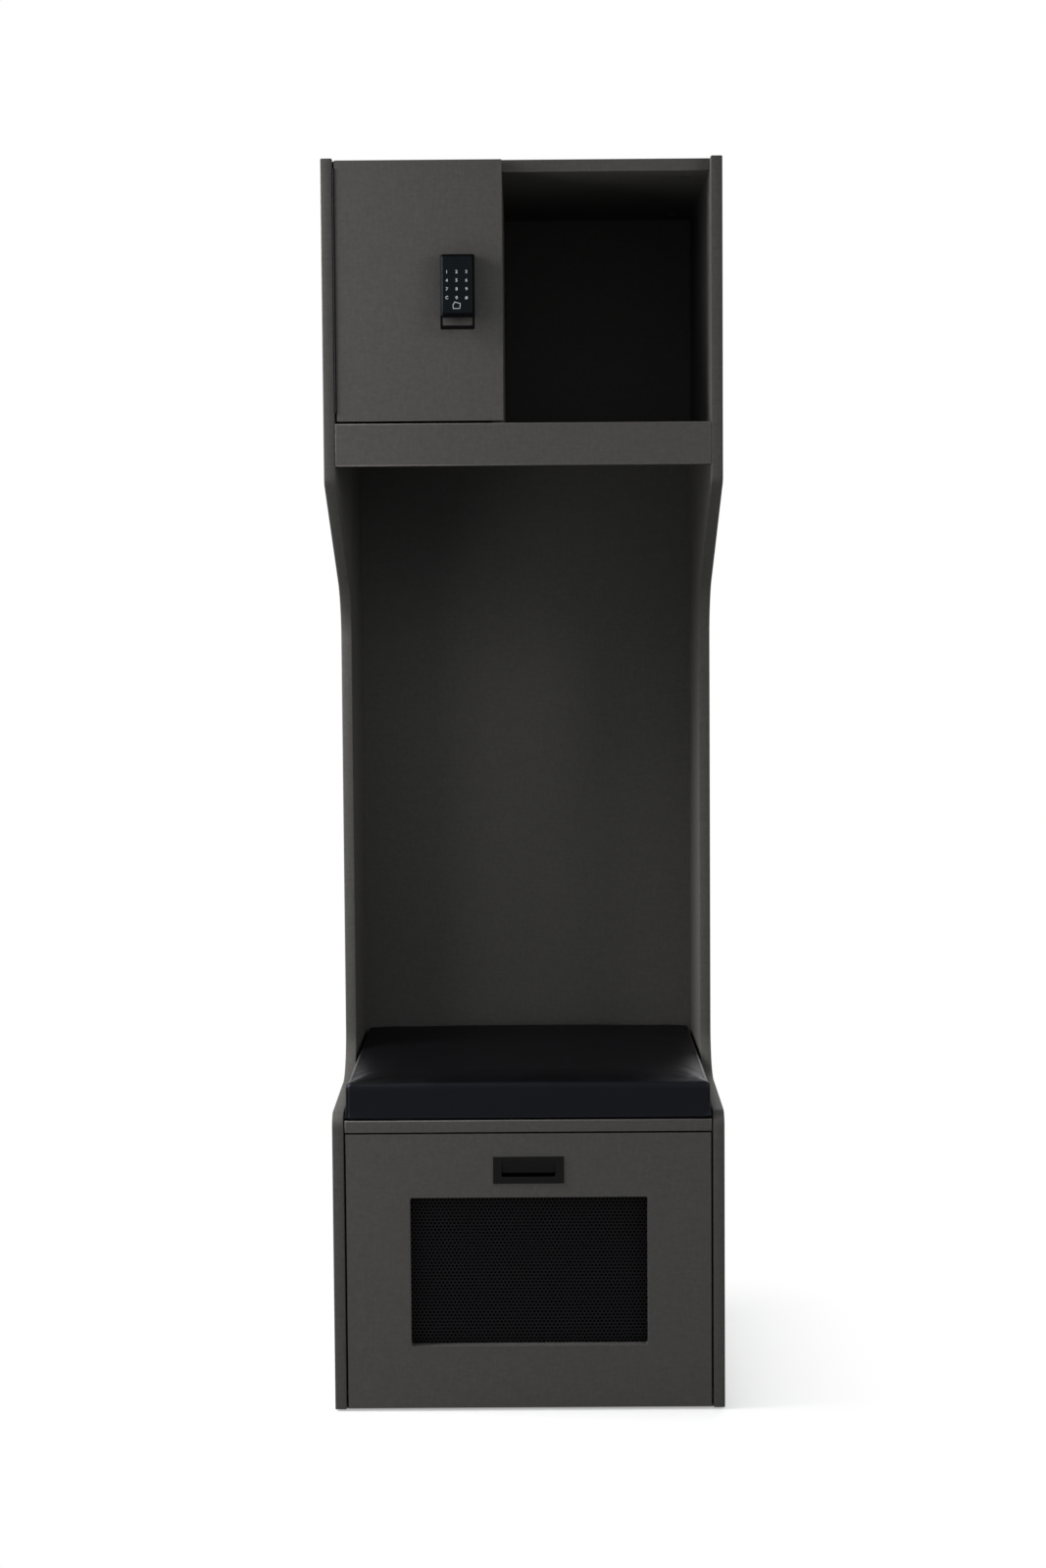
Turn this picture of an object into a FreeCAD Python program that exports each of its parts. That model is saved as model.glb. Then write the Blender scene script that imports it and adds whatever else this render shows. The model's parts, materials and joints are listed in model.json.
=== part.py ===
"""Mudroom locker: open hanging bay, lock-up cabinet, cubby, cushioned seat and a vented drawer.

Millimetres, +Z up, front towards -Y, origin at the middle of the footprint on the floor.
"""
import FreeCAD
import Part
import Sketcher
import math
import os
import re

SIZES = {
    # Whole unit
    "width": 610,
    "height": 1935,
    "depth": 584,
    "board": 18,
    "back_board": 12,
    # Side panel profile: arms above the seat, slopes below the valance, waist back from the front edge
    "waist_setback": 314,
    "arm_front_rise": 12,
    "arm_rear_rise": 21,
    "slope_drop": 27,
    "slope_rise": 178,
    "arm_front_radius": 24,
    "arm_rear_radius": 75,
    "slope_low_radius": 100,
    "slope_high_radius": 14,
    # Feet
    "glide_height": 3.5,
    "glide_radius": 8,
    "glide_edge": 1.5,
    "glide_inset": 40,
    "glide_nail_radius": 1.25,
    "glide_nail_length": 14,
    # Upper cabinet
    "top_drop": 0.5,
    "face_setback": 20,
    "cabinet_clear_height": 381.5,
    "cabinet_rear_space": 55,
    "lockup_clear_width": 239,
    "valance_height": 64,
    "back_recess": 8,
    "rail_height": 90,
    "wall_hole_radius": 2.5,
    "wall_hole_spacing": 400,
    # Seat, cushion and base
    "seat_height": 459,
    "seat_side_gap": 2,
    "cleat_height": 40,
    "cleat_setback": 30,
    "cleat_screw_spacing": 190,
    "cushion_lift": 5,
    "cushion_inset": 14,
    "cushion_height": 53,
    "cushion_crown": 4,
    "cushion_brim_crown": 1,
    "cushion_crown_run": 70,
    "cushion_side_gap": 3,
    "cushion_front_gap": 2,
    "cushion_rear_gap": 2,
    "cushion_edge": 10,
    "cushion_waist": 2.5,
    "cushion_screw_edge": 90,
    "base_lift": 12,
    # Door and its continuous hinge
    "door_foot_gap": 4,
    "door_head_drop": 3,
    "hinge_gap": 3.4,
    "hinge_leaf": 0.8,
    "hinge_leaf_width": 14,
    "hinge_barrel_radius": 1.4,
    "hinge_bore_radius": 0.75,
    "hinge_pin_radius": 0.7,
    "hinge_knuckles": 15,
    "hinge_knuckle_gap": 0.5,
    "hinge_leaf_start": 1.9,
    "hinge_end_gap": 12,
    "hinge_screws": 6,
    "hinge_screw_line": 8,
    "hinge_screw_radius": 1.4,
    "hinge_head_radius": 2.6,
    "hinge_head_height": 0.7,
    "hinge_screw_length": 12,
    # Keypad lock
    "lock_projection": 24,
    "lock_width": 52,
    "lock_offset": 163,
    "lock_rise": 136,
    "lock_housing_height": 92,
    "lock_wall": 3,
    "lock_bevel": 3.5,
    "lock_panel": 1.5,
    "lock_panel_margin": 3.5,
    "loop_drop": 20,
    "loop_arm": 3,
    "loop_bar": 5.3,
    "loop_depth": 9,
    "rear_case_depth": 26,
    "rear_case_height": 86,
    "rear_case_rise": 22,
    "rear_case_wall": 2,
    "rear_case_margin": 2,
    "rear_case_reach": 66,
    "cover_width": 32,
    "cover_height": 54,
    "cover_thickness": 1.6,
    "cover_lap": 3,
    "cell_radius": 5.25,
    "cell_length": 44.5,
    "cell_gap": 0.3,
    "circuit_thickness": 1.6,
    "circuit_margin": 3,
    "lock_bolt_radius": 1.9,
    "lock_bolt_head_radius": 3.2,
    "lock_bolt_head_height": 2,
    "lock_bolt_edge": 13,
    "lock_boss_radius": 4,
    "actuator_width": 12,
    "actuator_height": 40,
    "actuator_gap": 0.5,
    "latch_width": 8,
    "latch_height": 20,
    "latch_length": 26,
    "latch_nose": 2,
    "latch_travel": 14,
    "latch_clearance": 0.4,
    "latch_setback": 10,
    "latch_rise": 33,
    "strike_thickness": 1.5,
    "strike_width": 22,
    "strike_height": 54,
    "strike_clearance": 1,
    "mortise_spare": 3,
    "strike_screw_edge": 8,
    # Drawer
    "drawer_side_gap": 3,
    "drawer_head_gap": 3,
    "drawer_floor_gap": 5,
    "drawer_board": 15,
    "drawer_box_gap": 10,
    "drawer_box_head_space": 56,
    "drawer_rear_space": 26,
    "drawer_bottom": 9,
    "drawer_bottom_rise": 8,
    "drawer_groove": 6,
    "vent_width": 370,
    "vent_head_gap": 100,
    "vent_foot": 98,
    "vent_corner": 4,
    "vent_sheet": 1,
    "vent_lap": 16,
    "vent_hole_radius": 6.2,
    "vent_hole_pitch": 19,
    "vent_screw_radius": 1.5,
    "vent_screw_length": 11,
    "pull_width": 110,
    "pull_height": 42,
    "pull_plate": 1.5,
    "pull_head_gap": 36,
    "pull_pocket_width": 84,
    "pull_pocket_height": 24.5,
    "pull_pocket_head": 6.5,
    "pull_body_wall": 1.5,
    "pull_body_depth": 16,
    "pull_lip": 5,
    "pull_step": 1,
    "pull_clearance": 0.5,
    # Telescopic slides
    "slide_space": 12.7,
    "slide_height": 45,
    "slide_end_gap": 14,
    "slide_setback": 24,
    "slide_rise": 110,
    "slide_steel": 1.2,
    "slide_play": 0.4,
    "slide_cabinet_reach": 9,
    "slide_middle_start": 2,
    "slide_middle_reach": 8.6,
    "slide_middle_web": 5.6,
    "slide_drawer_reach": 5.5,
    "slide_screw_edge": 40,
    # Fittings
    "cam_radius": 7.5,
    "cam_height": 13.5,
    "cam_inset": 34,
    "cam_edge": 60,
    "cam_back_edge": 20,
    "cam_back_offset": 195,
    "cap_radius": 8.5,
    "cap_thickness": 1,
    "pin_radius": 2.5,
    "pin_shaft_radius": 3,
    "pin_depth": 10,
    "dowel_radius": 4,
    "dowel_short": 10,
    "dowel_long": 22,
    "dowel_edge": 60,
    "screw_radius": 2,
    "screw_head_radius": 4,
    "screw_head_height": 1.8,
    "screw_bite": 13,
    "back_screw_bite": 25,
    "back_screw_spacing": 220,
    "hole_clearance": 0.1,
    "cable_hole_radius": 6,
}

doc = FreeCAD.newDocument("mudroom_locker")
sheet = doc.addObject("Spreadsheet::Sheet", "Sizes")
for row, (alias, number) in enumerate(SIZES.items(), start=1):
    sheet.set(f"A{row}", alias)
    sheet.set(f"B{row}", str(number))
    sheet.setAlias(f"B{row}", alias)
doc.recompute()

# Shared planes and faces, written as sums of the sheet's sizes
FRONT = "(lock_projection / 2 - depth / 2)"
INNER = "(width / 2 - board)"
TOP_FACE = "(height - top_drop)"
TOP_UNDER = f"({TOP_FACE} - board)"
SHELF_TOP = f"({TOP_UNDER} - cabinet_clear_height)"
SHELF_UNDER = f"({SHELF_TOP} - board)"
VALANCE_FOOT = f"({SHELF_TOP} - valance_height)"
BAY_DEPTH = "(depth - back_recess - back_board)"
BAY_BACK = f"({FRONT} + {BAY_DEPTH})"
CABINET_FRONT = f"({FRONT} + face_setback)"
CABINET_BACK = f"({BAY_BACK} - cabinet_rear_space)"
CABINET_DEPTH = f"({CABINET_BACK} - {CABINET_FRONT})"
BACK_REAR = f"({BAY_BACK} + back_board)"
RAIL_MIDDLE = f"({TOP_FACE} - rail_height / 2)"
DIVIDER_LEFT = f"(-{INNER} + lockup_clear_width)"
DIVIDER_RIGHT = f"({DIVIDER_LEFT} + board)"
SEAT_UNDER = "(seat_height - board)"
BASE_TOP = "(base_lift + board)"
CUSHION_FOOT = "(seat_height + cushion_lift)"
DOOR_FOOT = f"({SHELF_TOP} + door_foot_gap)"
DOOR_TOP = "(height - door_head_drop)"
DOOR_LEFT = f"(-{INNER} + hinge_gap)"
DOOR_BACK = f"({FRONT} + board)"
HINGE_X = f"(-{INNER} + hinge_gap / 2)"
HINGE_FOOT = f"({DOOR_FOOT} + hinge_end_gap)"
HINGE_LENGTH = f"({DOOR_TOP} - {DOOR_FOOT} - 2 * hinge_end_gap)"
LOCK_LEFT = f"(-{INNER} + lock_offset)"
LOCK_MIDDLE = f"({LOCK_LEFT} + lock_width / 2)"
LOCK_FOOT = f"({DOOR_FOOT} + lock_rise)"
HOUSING_FOOT = f"({LOCK_FOOT} + loop_drop)"
HOUSING_FRONT = f"({FRONT} - lock_projection + lock_panel)"
CASE_LEFT = f"({LOCK_LEFT} + rear_case_margin)"
CASE_RIGHT = f"({CASE_LEFT} + rear_case_reach)"
CASE_FOOT = f"({LOCK_FOOT} + rear_case_rise)"
CASE_REAR = f"({DOOR_BACK} + rear_case_depth)"
CASE_MIDDLE = f"({CASE_FOOT} + rear_case_height / 2)"
LATCH_BACK = f"({CASE_RIGHT} + latch_nose - latch_length)"
LATCH_TIP = f"({LATCH_BACK} + latch_length)"
LATCH_FRONT = f"({DOOR_BACK} + latch_setback)"
LATCH_FOOT = f"({CASE_FOOT} + latch_rise)"
LATCH_MIDDLE = f"({LATCH_FOOT} + latch_height / 2)"
DRAWER_TOP = f"({SEAT_UNDER} - drawer_head_gap)"
BOX_FOOT = f"({BASE_TOP} + drawer_box_gap)"
BOX_TOP = f"({SEAT_UNDER} - drawer_box_head_space)"
BOX_OUTER = f"({INNER} - slide_space)"
BOX_INNER = f"({BOX_OUTER} - drawer_board)"
BOX_FRONT = f"({FRONT} + board)"
BOX_REAR = f"({BAY_BACK} - drawer_rear_space)"
BOX_DEPTH = f"({BOX_REAR} - {BOX_FRONT})"
BOTTOM_TOP = f"({BOX_FOOT} + drawer_bottom_rise + drawer_bottom)"
VENT_FOOT = "(drawer_floor_gap + vent_foot)"
VENT_HEIGHT = f"({DRAWER_TOP} - vent_head_gap - {VENT_FOOT})"
PULL_TOP = f"({DRAWER_TOP} - pull_head_gap)"
POCKET_FOOT = f"({PULL_TOP} - pull_pocket_head - pull_pocket_height)"
SLIDE_MIDDLE = f"({BOX_FOOT} + slide_rise)"
SLIDE_FRONT = f"({FRONT} + slide_setback)"
SLIDE_LENGTH = f"({BOX_REAR} - slide_end_gap - {SLIDE_FRONT})"
SIDES = {"left": -1, "right": 1}

subparts = {}
holes = {}


def sized(text):
    """An expression in which each size's name points to its cell."""
    def to_cell(match):
        word = match.group(0)
        return f"Sizes.{word}" if word in SIZES else word
    return re.sub(r"[a-z_]+", to_cell, str(text))


def place(item, x, y, z):
    """Tie an object's position to the sheet."""
    for axis, text in zip("xyz", (x, y, z)):
        item.setExpression(f"Placement.Base.{axis}", sized(text))
    return item


def block(x, y, z, length, width, tall):
    """A box from its low corner."""
    item = doc.addObject("Part::Box", "Block")
    item.setExpression("Length", sized(length))
    item.setExpression("Width", sized(width))
    item.setExpression("Height", sized(tall))
    return place(item, x, y, z)


TURNS = {
    "X": FreeCAD.Rotation(FreeCAD.Vector(0, 1, 0), 90),
    "Y": FreeCAD.Rotation(FreeCAD.Vector(1, 0, 0), -90),
    "Z": FreeCAD.Rotation(),
}


def rod(axis, x, y, z, radius, length):
    """A cylinder that runs from its base point along +X, +Y or +Z."""
    item = doc.addObject("Part::Cylinder", "Rod")
    item.Placement = FreeCAD.Placement(FreeCAD.Vector(), TURNS[axis])
    item.setExpression("Radius", sized(radius))
    item.setExpression("Height", sized(length))
    return place(item, x, y, z)


def joined(items):
    """Shapes made into one: a solid where they overlap."""
    item = doc.addObject("Part::MultiFuse", "Joined")
    item.Shapes = items
    return item


def group(items):
    """Separate solids kept side by side."""
    item = doc.addObject("Part::Compound", "Group")
    item.Links = items
    return item


def without(base, tools):
    """A shape with its holes and recesses cut out."""
    item = doc.addObject("Part::Cut", "Cut")
    item.Base = base
    item.Tool = joined(tools) if len(tools) > 1 else tools[0]
    return item


def subpart(label, item):
    """Name a finished piece."""
    item.Label = label
    subparts[label] = item


def drill(label, hole):
    """Note a hole for the piece of that name."""
    holes.setdefault(label, []).append(hole)


def drilled(label, base):
    """Name a piece, with every hole that its fittings asked for."""
    tools = holes.get(label, [])
    subpart(label, without(base, tools) if tools else base)


# Each sketch plane's two directions in space
PLANE_AXES = {"XY_Plane": ("x", "y"), "YZ_Plane": ("y", "z"), "XZ_Plane": ("x", "z")}


def prism(plane, corners, length, radii=None):
    """A body padded from a closed outline whose corners are tied to the sheet.

    It is padded towards +Z from XY_Plane, +X from YZ_Plane and -Y from XZ_Plane.
    radii rounds the corners of the given numbers.
    """
    body = doc.addObject("PartDesign::Body", "Prism")
    sketch = body.newObject("Sketcher::SketchObject", "Outline")
    support = [item for item in body.Origin.OriginFeatures if item.Role == plane][0]
    sketch.AttachmentSupport = [(support, "")]
    sketch.MapMode = "FlatFace"
    count = len(corners)
    rough = [FreeCAD.Vector(index + 1, (index + 1) ** 2, 0) for index in range(count)]
    for index in range(count):
        sketch.addGeometry(Part.LineSegment(rough[index], rough[(index + 1) % count]), False)
    for index in range(count):
        sketch.addConstraint(Sketcher.Constraint("Coincident", index, 2, (index + 1) % count, 1))
    for index, corner in enumerate(corners):
        for kind, zero_axis, text in zip(("DistanceX", "DistanceY"), (-2, -1), corner):
            if text == "0":
                sketch.addConstraint(Sketcher.Constraint("PointOnObject", index, 1, zero_axis))
            else:
                link = sketch.addConstraint(Sketcher.Constraint(kind, -1, 1, index, 1, 1.0))
                sketch.setExpression(f"Constraints[{link}]", sized(text))
    pad = body.newObject("PartDesign::Pad", "Pad")
    pad.Profile = sketch
    pad.setExpression("Length", sized(length))
    for index, radius in (radii or {}).items():
        doc.recompute()
        round_corner(body, plane, sketch.getPoint(index, 1), radius)
    return body


def round_corner(body, plane, corner, radius):
    """Round the padded edge that stands on one corner of the outline."""
    near = 1e-4
    base = body.Tip
    across, along = PLANE_AXES[plane]
    names = []
    for number, edge in enumerate(base.Shape.Edges, start=1):
        points = [vertex.Point for vertex in edge.Vertexes]
        misses = [abs(getattr(point, across) - corner.x) for point in points]
        misses += [abs(getattr(point, along) - corner.y) for point in points]
        if max(misses) < near:
            names.append(f"Edge{number}")
    fillet = body.newObject("PartDesign::Fillet", "Fillet")
    fillet.Base = (base, names)
    fillet.setExpression("Radius", sized(radius))
    body.Tip = fillet


SCREW = ("screw_radius", "screw_head_radius", "screw_head_height")


def shifted(spot, axis, amount):
    """A spot moved along one axis."""
    moved = dict(zip("XYZ", spot))
    moved[axis] = f"{moved[axis]} + ({amount})"
    return tuple(moved.values())


def screw(axis, sign, spot, length, kind=SCREW):
    """A pan-head screw: its head stands on the spot and its shank runs along the axis, up or down it."""
    radius, head_radius, head_height = kind
    head_spot = shifted(spot, axis, f"-{head_height}") if sign > 0 else spot
    shank_spot = spot if sign > 0 else shifted(spot, axis, f"-({length})")
    head = rod(axis, *head_spot, head_radius, head_height)
    return joined([head, rod(axis, *shank_spot, radius, length)])


def bore(axis, sign, spot, length, radius):
    """A clearance hole from a spot, a little wider and deeper than what goes into it."""
    deep = f"({length}) + hole_clearance"
    start = spot if sign > 0 else shifted(spot, axis, f"-({deep})")
    return rod(axis, *start, f"{radius} + hole_clearance", deep)


def dowel(axis, spot, low, high):
    """A wooden dowel across a joint; low and high are the boards before and after the spot, with depths."""
    for sign, (label, length) in ((-1, low), (1, high)):
        drill(label, bore(axis, sign, spot, length, "dowel_radius"))
    start = shifted(spot, axis, f"-{low[1]}")
    return rod(axis, *start, "dowel_radius", f"{low[1]} + {high[1]}")


def side_cam(label, under, side, y):
    """A cam in a board's underside and the pin that it draws in from a side panel."""
    sign = SIDES[side]
    spot = (f"{sign} * {INNER}", y, f"{under} + board / 2")
    cam_spot = (f"{sign} * ({INNER} - cam_inset)", y, under)
    reach = "cam_inset - cam_radius - hole_clearance"
    drill(label, bore("Z", 1, cam_spot, "cam_height", "cam_radius"))
    drill(label, bore("X", -sign, spot, "cam_inset", "pin_shaft_radius"))
    drill(f"{side}_side_panel", bore("X", sign, spot, "pin_depth", "pin_radius"))
    thread_spot = spot if sign > 0 else shifted(spot, "X", "-pin_depth")
    shaft_spot = shifted(spot, "X", f"-({reach})") if sign > 0 else spot
    thread = rod("X", *thread_spot, "pin_radius", "pin_depth")
    shaft = rod("X", *shaft_spot, "pin_shaft_radius", reach)
    return rod("Z", *cam_spot, "cam_radius", "cam_height"), joined([thread, shaft])


def back_cam(x):
    """A capped cam in the top panel's underside and the pin that it draws in from the cabinet back."""
    spot = (x, CABINET_BACK, f"{TOP_UNDER} + board / 2")
    cam_spot = (x, f"{CABINET_BACK} - cam_back_edge", TOP_UNDER)
    drill("top_panel", bore("Z", 1, cam_spot, "cam_height", "cam_radius"))
    reach = "cam_back_edge - cam_radius - hole_clearance"
    drill("top_panel", bore("Y", -1, spot, "cam_back_edge", "pin_shaft_radius"))
    drill("cabinet_back", bore("Y", 1, spot, "pin_depth", "pin_radius"))
    thread = rod("Y", *spot, "pin_radius", "pin_depth")
    shaft = rod("Y", *shifted(spot, "Y", f"-({reach})"), "pin_shaft_radius", reach)
    cap = rod("Z", *shifted(cam_spot, "Z", "-cap_thickness"), "cap_radius", "cap_thickness")
    return rod("Z", *cam_spot, "cam_radius", "cam_height"), joined([thread, shaft]), cap


def carcass_cams():
    """Cam fittings of the top panel, the shelf and the base."""
    cams = []
    pins = []
    caps = []
    for side in SIDES:
        for y in (f"{CABINET_FRONT} + cam_edge", f"{CABINET_BACK} - cam_edge"):
            boards = (("top_panel", TOP_UNDER), ("cabinet_shelf", SHELF_UNDER), ("base_panel", "base_lift"))
            for label, under in boards:
                cam, pin = side_cam(label, under, side, y)
                cams.append(cam)
                pins.append(pin)
        cam, pin, cap = back_cam(f"{SIDES[side]} * cam_back_offset")
        cams.append(cam)
        pins.append(pin)
        caps.append(cap)
    subpart("cam_locks", group(cams))
    subpart("cam_pins", group(pins))
    subpart("cam_cover_caps", group(caps))


def carcass_dowels():
    """Dowels of the valance, divider, rear rail, cabinet back and seat."""
    pegs = []
    short, long = "dowel_short", "dowel_long"
    for step in (-1, 0, 1):
        spot = (f"{step} * back_screw_spacing", f"{FRONT} + board", f"{SHELF_TOP} - board / 2")
        pegs.append(dowel("Y", spot, ("shelf_valance", short), ("cabinet_shelf", long)))
    middle = f"{DIVIDER_LEFT} + board / 2"
    for y in (f"{CABINET_FRONT} + dowel_edge", f"{CABINET_BACK} - dowel_edge"):
        pegs.append(dowel("Z", (middle, y, SHELF_TOP), ("cabinet_shelf", short), ("cabinet_divider", long)))
        pegs.append(dowel("Z", (middle, y, TOP_UNDER), ("cabinet_divider", long), ("top_panel", short)))
    for step in (-1, 1):
        rail_spot = (f"{BAY_BACK} + board / 2", f"{RAIL_MIDDLE} + {step} * rail_height / 4")
        left_spot = (f"-{INNER}", *rail_spot)
        pegs.append(dowel("X", left_spot, ("left_side_panel", short), ("rear_top_rail", long)))
        right_spot = (INNER, *rail_spot)
        pegs.append(dowel("X", right_spot, ("rear_top_rail", long), ("right_side_panel", short)))
        back_spot = (f"{step} * cam_back_offset", f"{CABINET_BACK} + board / 2", SHELF_TOP)
        pegs.append(dowel("Z", back_spot, ("cabinet_shelf", short), ("cabinet_back", long)))
    for side, sign in SIDES.items():
        for y in (f"{FRONT} + cleat_setback + dowel_edge", f"{BAY_BACK} - dowel_edge"):
            spot = (f"{sign} * ({INNER} - board / 2)", y, SEAT_UNDER)
            pegs.append(dowel("Z", spot, (f"{side}_seat_cleat", long), ("seat_board", short)))
    subpart("frame_dowels", group(pegs))


def carcass_screws():
    """Screws of the back panel, the seat cleats and the cushion."""
    back_screws = []
    for step in (-1, 0, 1):
        boards = (("base_panel", "base_lift"), ("seat_board", SEAT_UNDER), ("cabinet_shelf", SHELF_UNDER))
        for label, under in boards:
            spot = (f"{step} * back_screw_spacing", BACK_REAR, f"{under} + board / 2")
            length = "back_board + back_screw_bite"
            back_screws.append(screw("Y", -1, spot, length))
            drill("back_panel", bore("Y", -1, spot, length, "screw_radius"))
            drill(label, bore("Y", -1, spot, length, "screw_radius"))
    subpart("back_panel_screws", group(back_screws))
    cleat_screws = []
    for side, sign in SIDES.items():
        for step in (-1, 0, 1):
            y = f"({FRONT} + cleat_setback + {BAY_BACK}) / 2 + {step} * cleat_screw_spacing"
            spot = (f"{sign} * ({INNER} - board)", y, f"{SEAT_UNDER} - cleat_height / 2")
            length = "board + screw_bite"
            cleat_screws.append(screw("X", sign, spot, length))
            drill(f"{side}_seat_cleat", bore("X", sign, spot, length, "screw_radius"))
            drill(f"{side}_side_panel", bore("X", sign, spot, length, "screw_radius"))
    subpart("cleat_screws", group(cleat_screws))
    cushion_screws = []
    for sign in SIDES.values():
        for y in (f"{FRONT} + cushion_screw_edge", f"{BAY_BACK} - cushion_screw_edge"):
            spot = (f"{sign} * ({INNER} - cushion_screw_edge)", y, SEAT_UNDER)
            length = "board + cushion_lift - hole_clearance"
            cushion_screws.append(screw("Z", 1, spot, length))
            drill("seat_board", bore("Z", 1, spot, length, "screw_radius"))
            drill("cushion_base", bore("Z", 1, spot, length, "screw_radius"))
    subpart("cushion_screws", group(cushion_screws))


def floor_glides():
    """Nail-on glides under both side panels."""
    glides = []
    for side, sign in SIDES.items():
        for y in (f"{FRONT} + glide_inset", f"{FRONT} + depth - glide_inset"):
            x = f"{sign} * ({INNER} + board / 2)"
            foot = doc.addObject("Part::Cone", "Foot")
            foot.setExpression("Radius1", sized("glide_radius - glide_edge"))
            foot.setExpression("Radius2", sized("glide_radius"))
            foot.setExpression("Height", sized("glide_edge"))
            place(foot, x, y, "0")
            disc = rod("Z", x, y, "glide_edge", "glide_radius", "glide_height - glide_edge")
            nail = rod("Z", x, y, "glide_edge", "glide_nail_radius",
                       "glide_height - glide_edge + glide_nail_length")
            glides.append(joined([foot, disc, nail]))
            drill(f"{side}_side_panel",
                  bore("Z", 1, (x, y, "glide_height"), "glide_nail_length", "glide_nail_radius"))
    subpart("floor_glides", group(glides))


def side_panels():
    """The two boards with the waisted outline: deep at the cabinet and the seat, shallow between them."""
    top = "height - glide_height"
    slope_high = f"({VALANCE_FOOT} - slope_drop - glide_height)"
    outline = [
        ("0", "0"),
        ("depth", "0"),
        ("depth", top),
        ("0", top),
        ("0", slope_high),
        ("waist_setback", f"{slope_high} - slope_rise"),
        ("waist_setback", "seat_height + arm_rear_rise - glide_height"),
        ("0", "seat_height + arm_front_rise - glide_height"),
    ]
    radii = {4: "slope_high_radius", 5: "slope_low_radius", 6: "arm_rear_radius", 7: "arm_front_radius"}
    for side, x in (("left", "-width / 2"), ("right", INNER)):
        panel = place(prism("YZ_Plane", outline, "board", radii), x, FRONT, "glide_height")
        drilled(f"{side}_side_panel", panel)


def cabinet_boards():
    """Top, shelf, divider, valance and back of the upper cabinet."""
    clear = f"2 * {INNER}"
    top = block(f"-{INNER}", CABINET_FRONT, TOP_UNDER, clear, CABINET_DEPTH, "board")
    drilled("top_panel", top)
    shelf = block(f"-{INNER}", f"{FRONT} + board", SHELF_UNDER, clear, f"{BAY_DEPTH} - board", "board")
    drilled("cabinet_shelf", shelf)
    divider = block(DIVIDER_LEFT, CABINET_FRONT, SHELF_TOP, "board", CABINET_DEPTH,
                    "cabinet_clear_height")
    drilled("cabinet_divider", divider)
    valance = block(f"-{INNER}", FRONT, VALANCE_FOOT, clear, "board", "valance_height")
    drilled("shelf_valance", valance)
    back = block(f"-{INNER}", CABINET_BACK, SHELF_TOP, clear, "board", f"{TOP_FACE} - {SHELF_TOP}")
    drilled("cabinet_back", back)


def rear_boards():
    """The bay's back panel and the rail above it that the wall straps are screwed to."""
    clear = f"2 * {INNER}"
    back = block(f"-{INNER}", BAY_BACK, "base_lift", clear, "back_board", f"{SHELF_TOP} - base_lift")
    drilled("back_panel", back)
    rail = block(f"-{INNER}", BAY_BACK, f"{TOP_FACE} - rail_height", clear, "board", "rail_height")
    for sign in SIDES.values():
        x = f"{sign} * wall_hole_spacing / 2"
        drill("rear_top_rail", rod("Y", x, BAY_BACK, RAIL_MIDDLE, "wall_hole_radius", "board"))
    drilled("rear_top_rail", rail)


def seat_boards():
    """Seat board, the cleats under it, the base panel and the cushion's own board."""
    half = f"({INNER} - seat_side_gap)"
    seat = block(f"-{half}", FRONT, SEAT_UNDER, f"2 * {half}", BAY_DEPTH, "board")
    drilled("seat_board", seat)
    for side, x in (("left", f"-{INNER}"), ("right", f"{INNER} - board")):
        cleat = block(x, f"{FRONT} + cleat_setback", f"{SEAT_UNDER} - cleat_height", "board",
                      f"{BAY_DEPTH} - cleat_setback", "cleat_height")
        drilled(f"{side}_seat_cleat", cleat)
    base = block(f"-{INNER}", CABINET_FRONT, "base_lift", f"2 * {INNER}", f"{BAY_DEPTH} - face_setback",
                 "board")
    drilled("base_panel", base)
    under = f"({INNER} - cushion_inset)"
    tray = block(f"-{under}", f"{FRONT} + cushion_inset", "seat_height", f"2 * {under}",
                 f"{BAY_DEPTH} - 2 * cushion_inset", "cushion_lift")
    drilled("cushion_base", tray)


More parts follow.
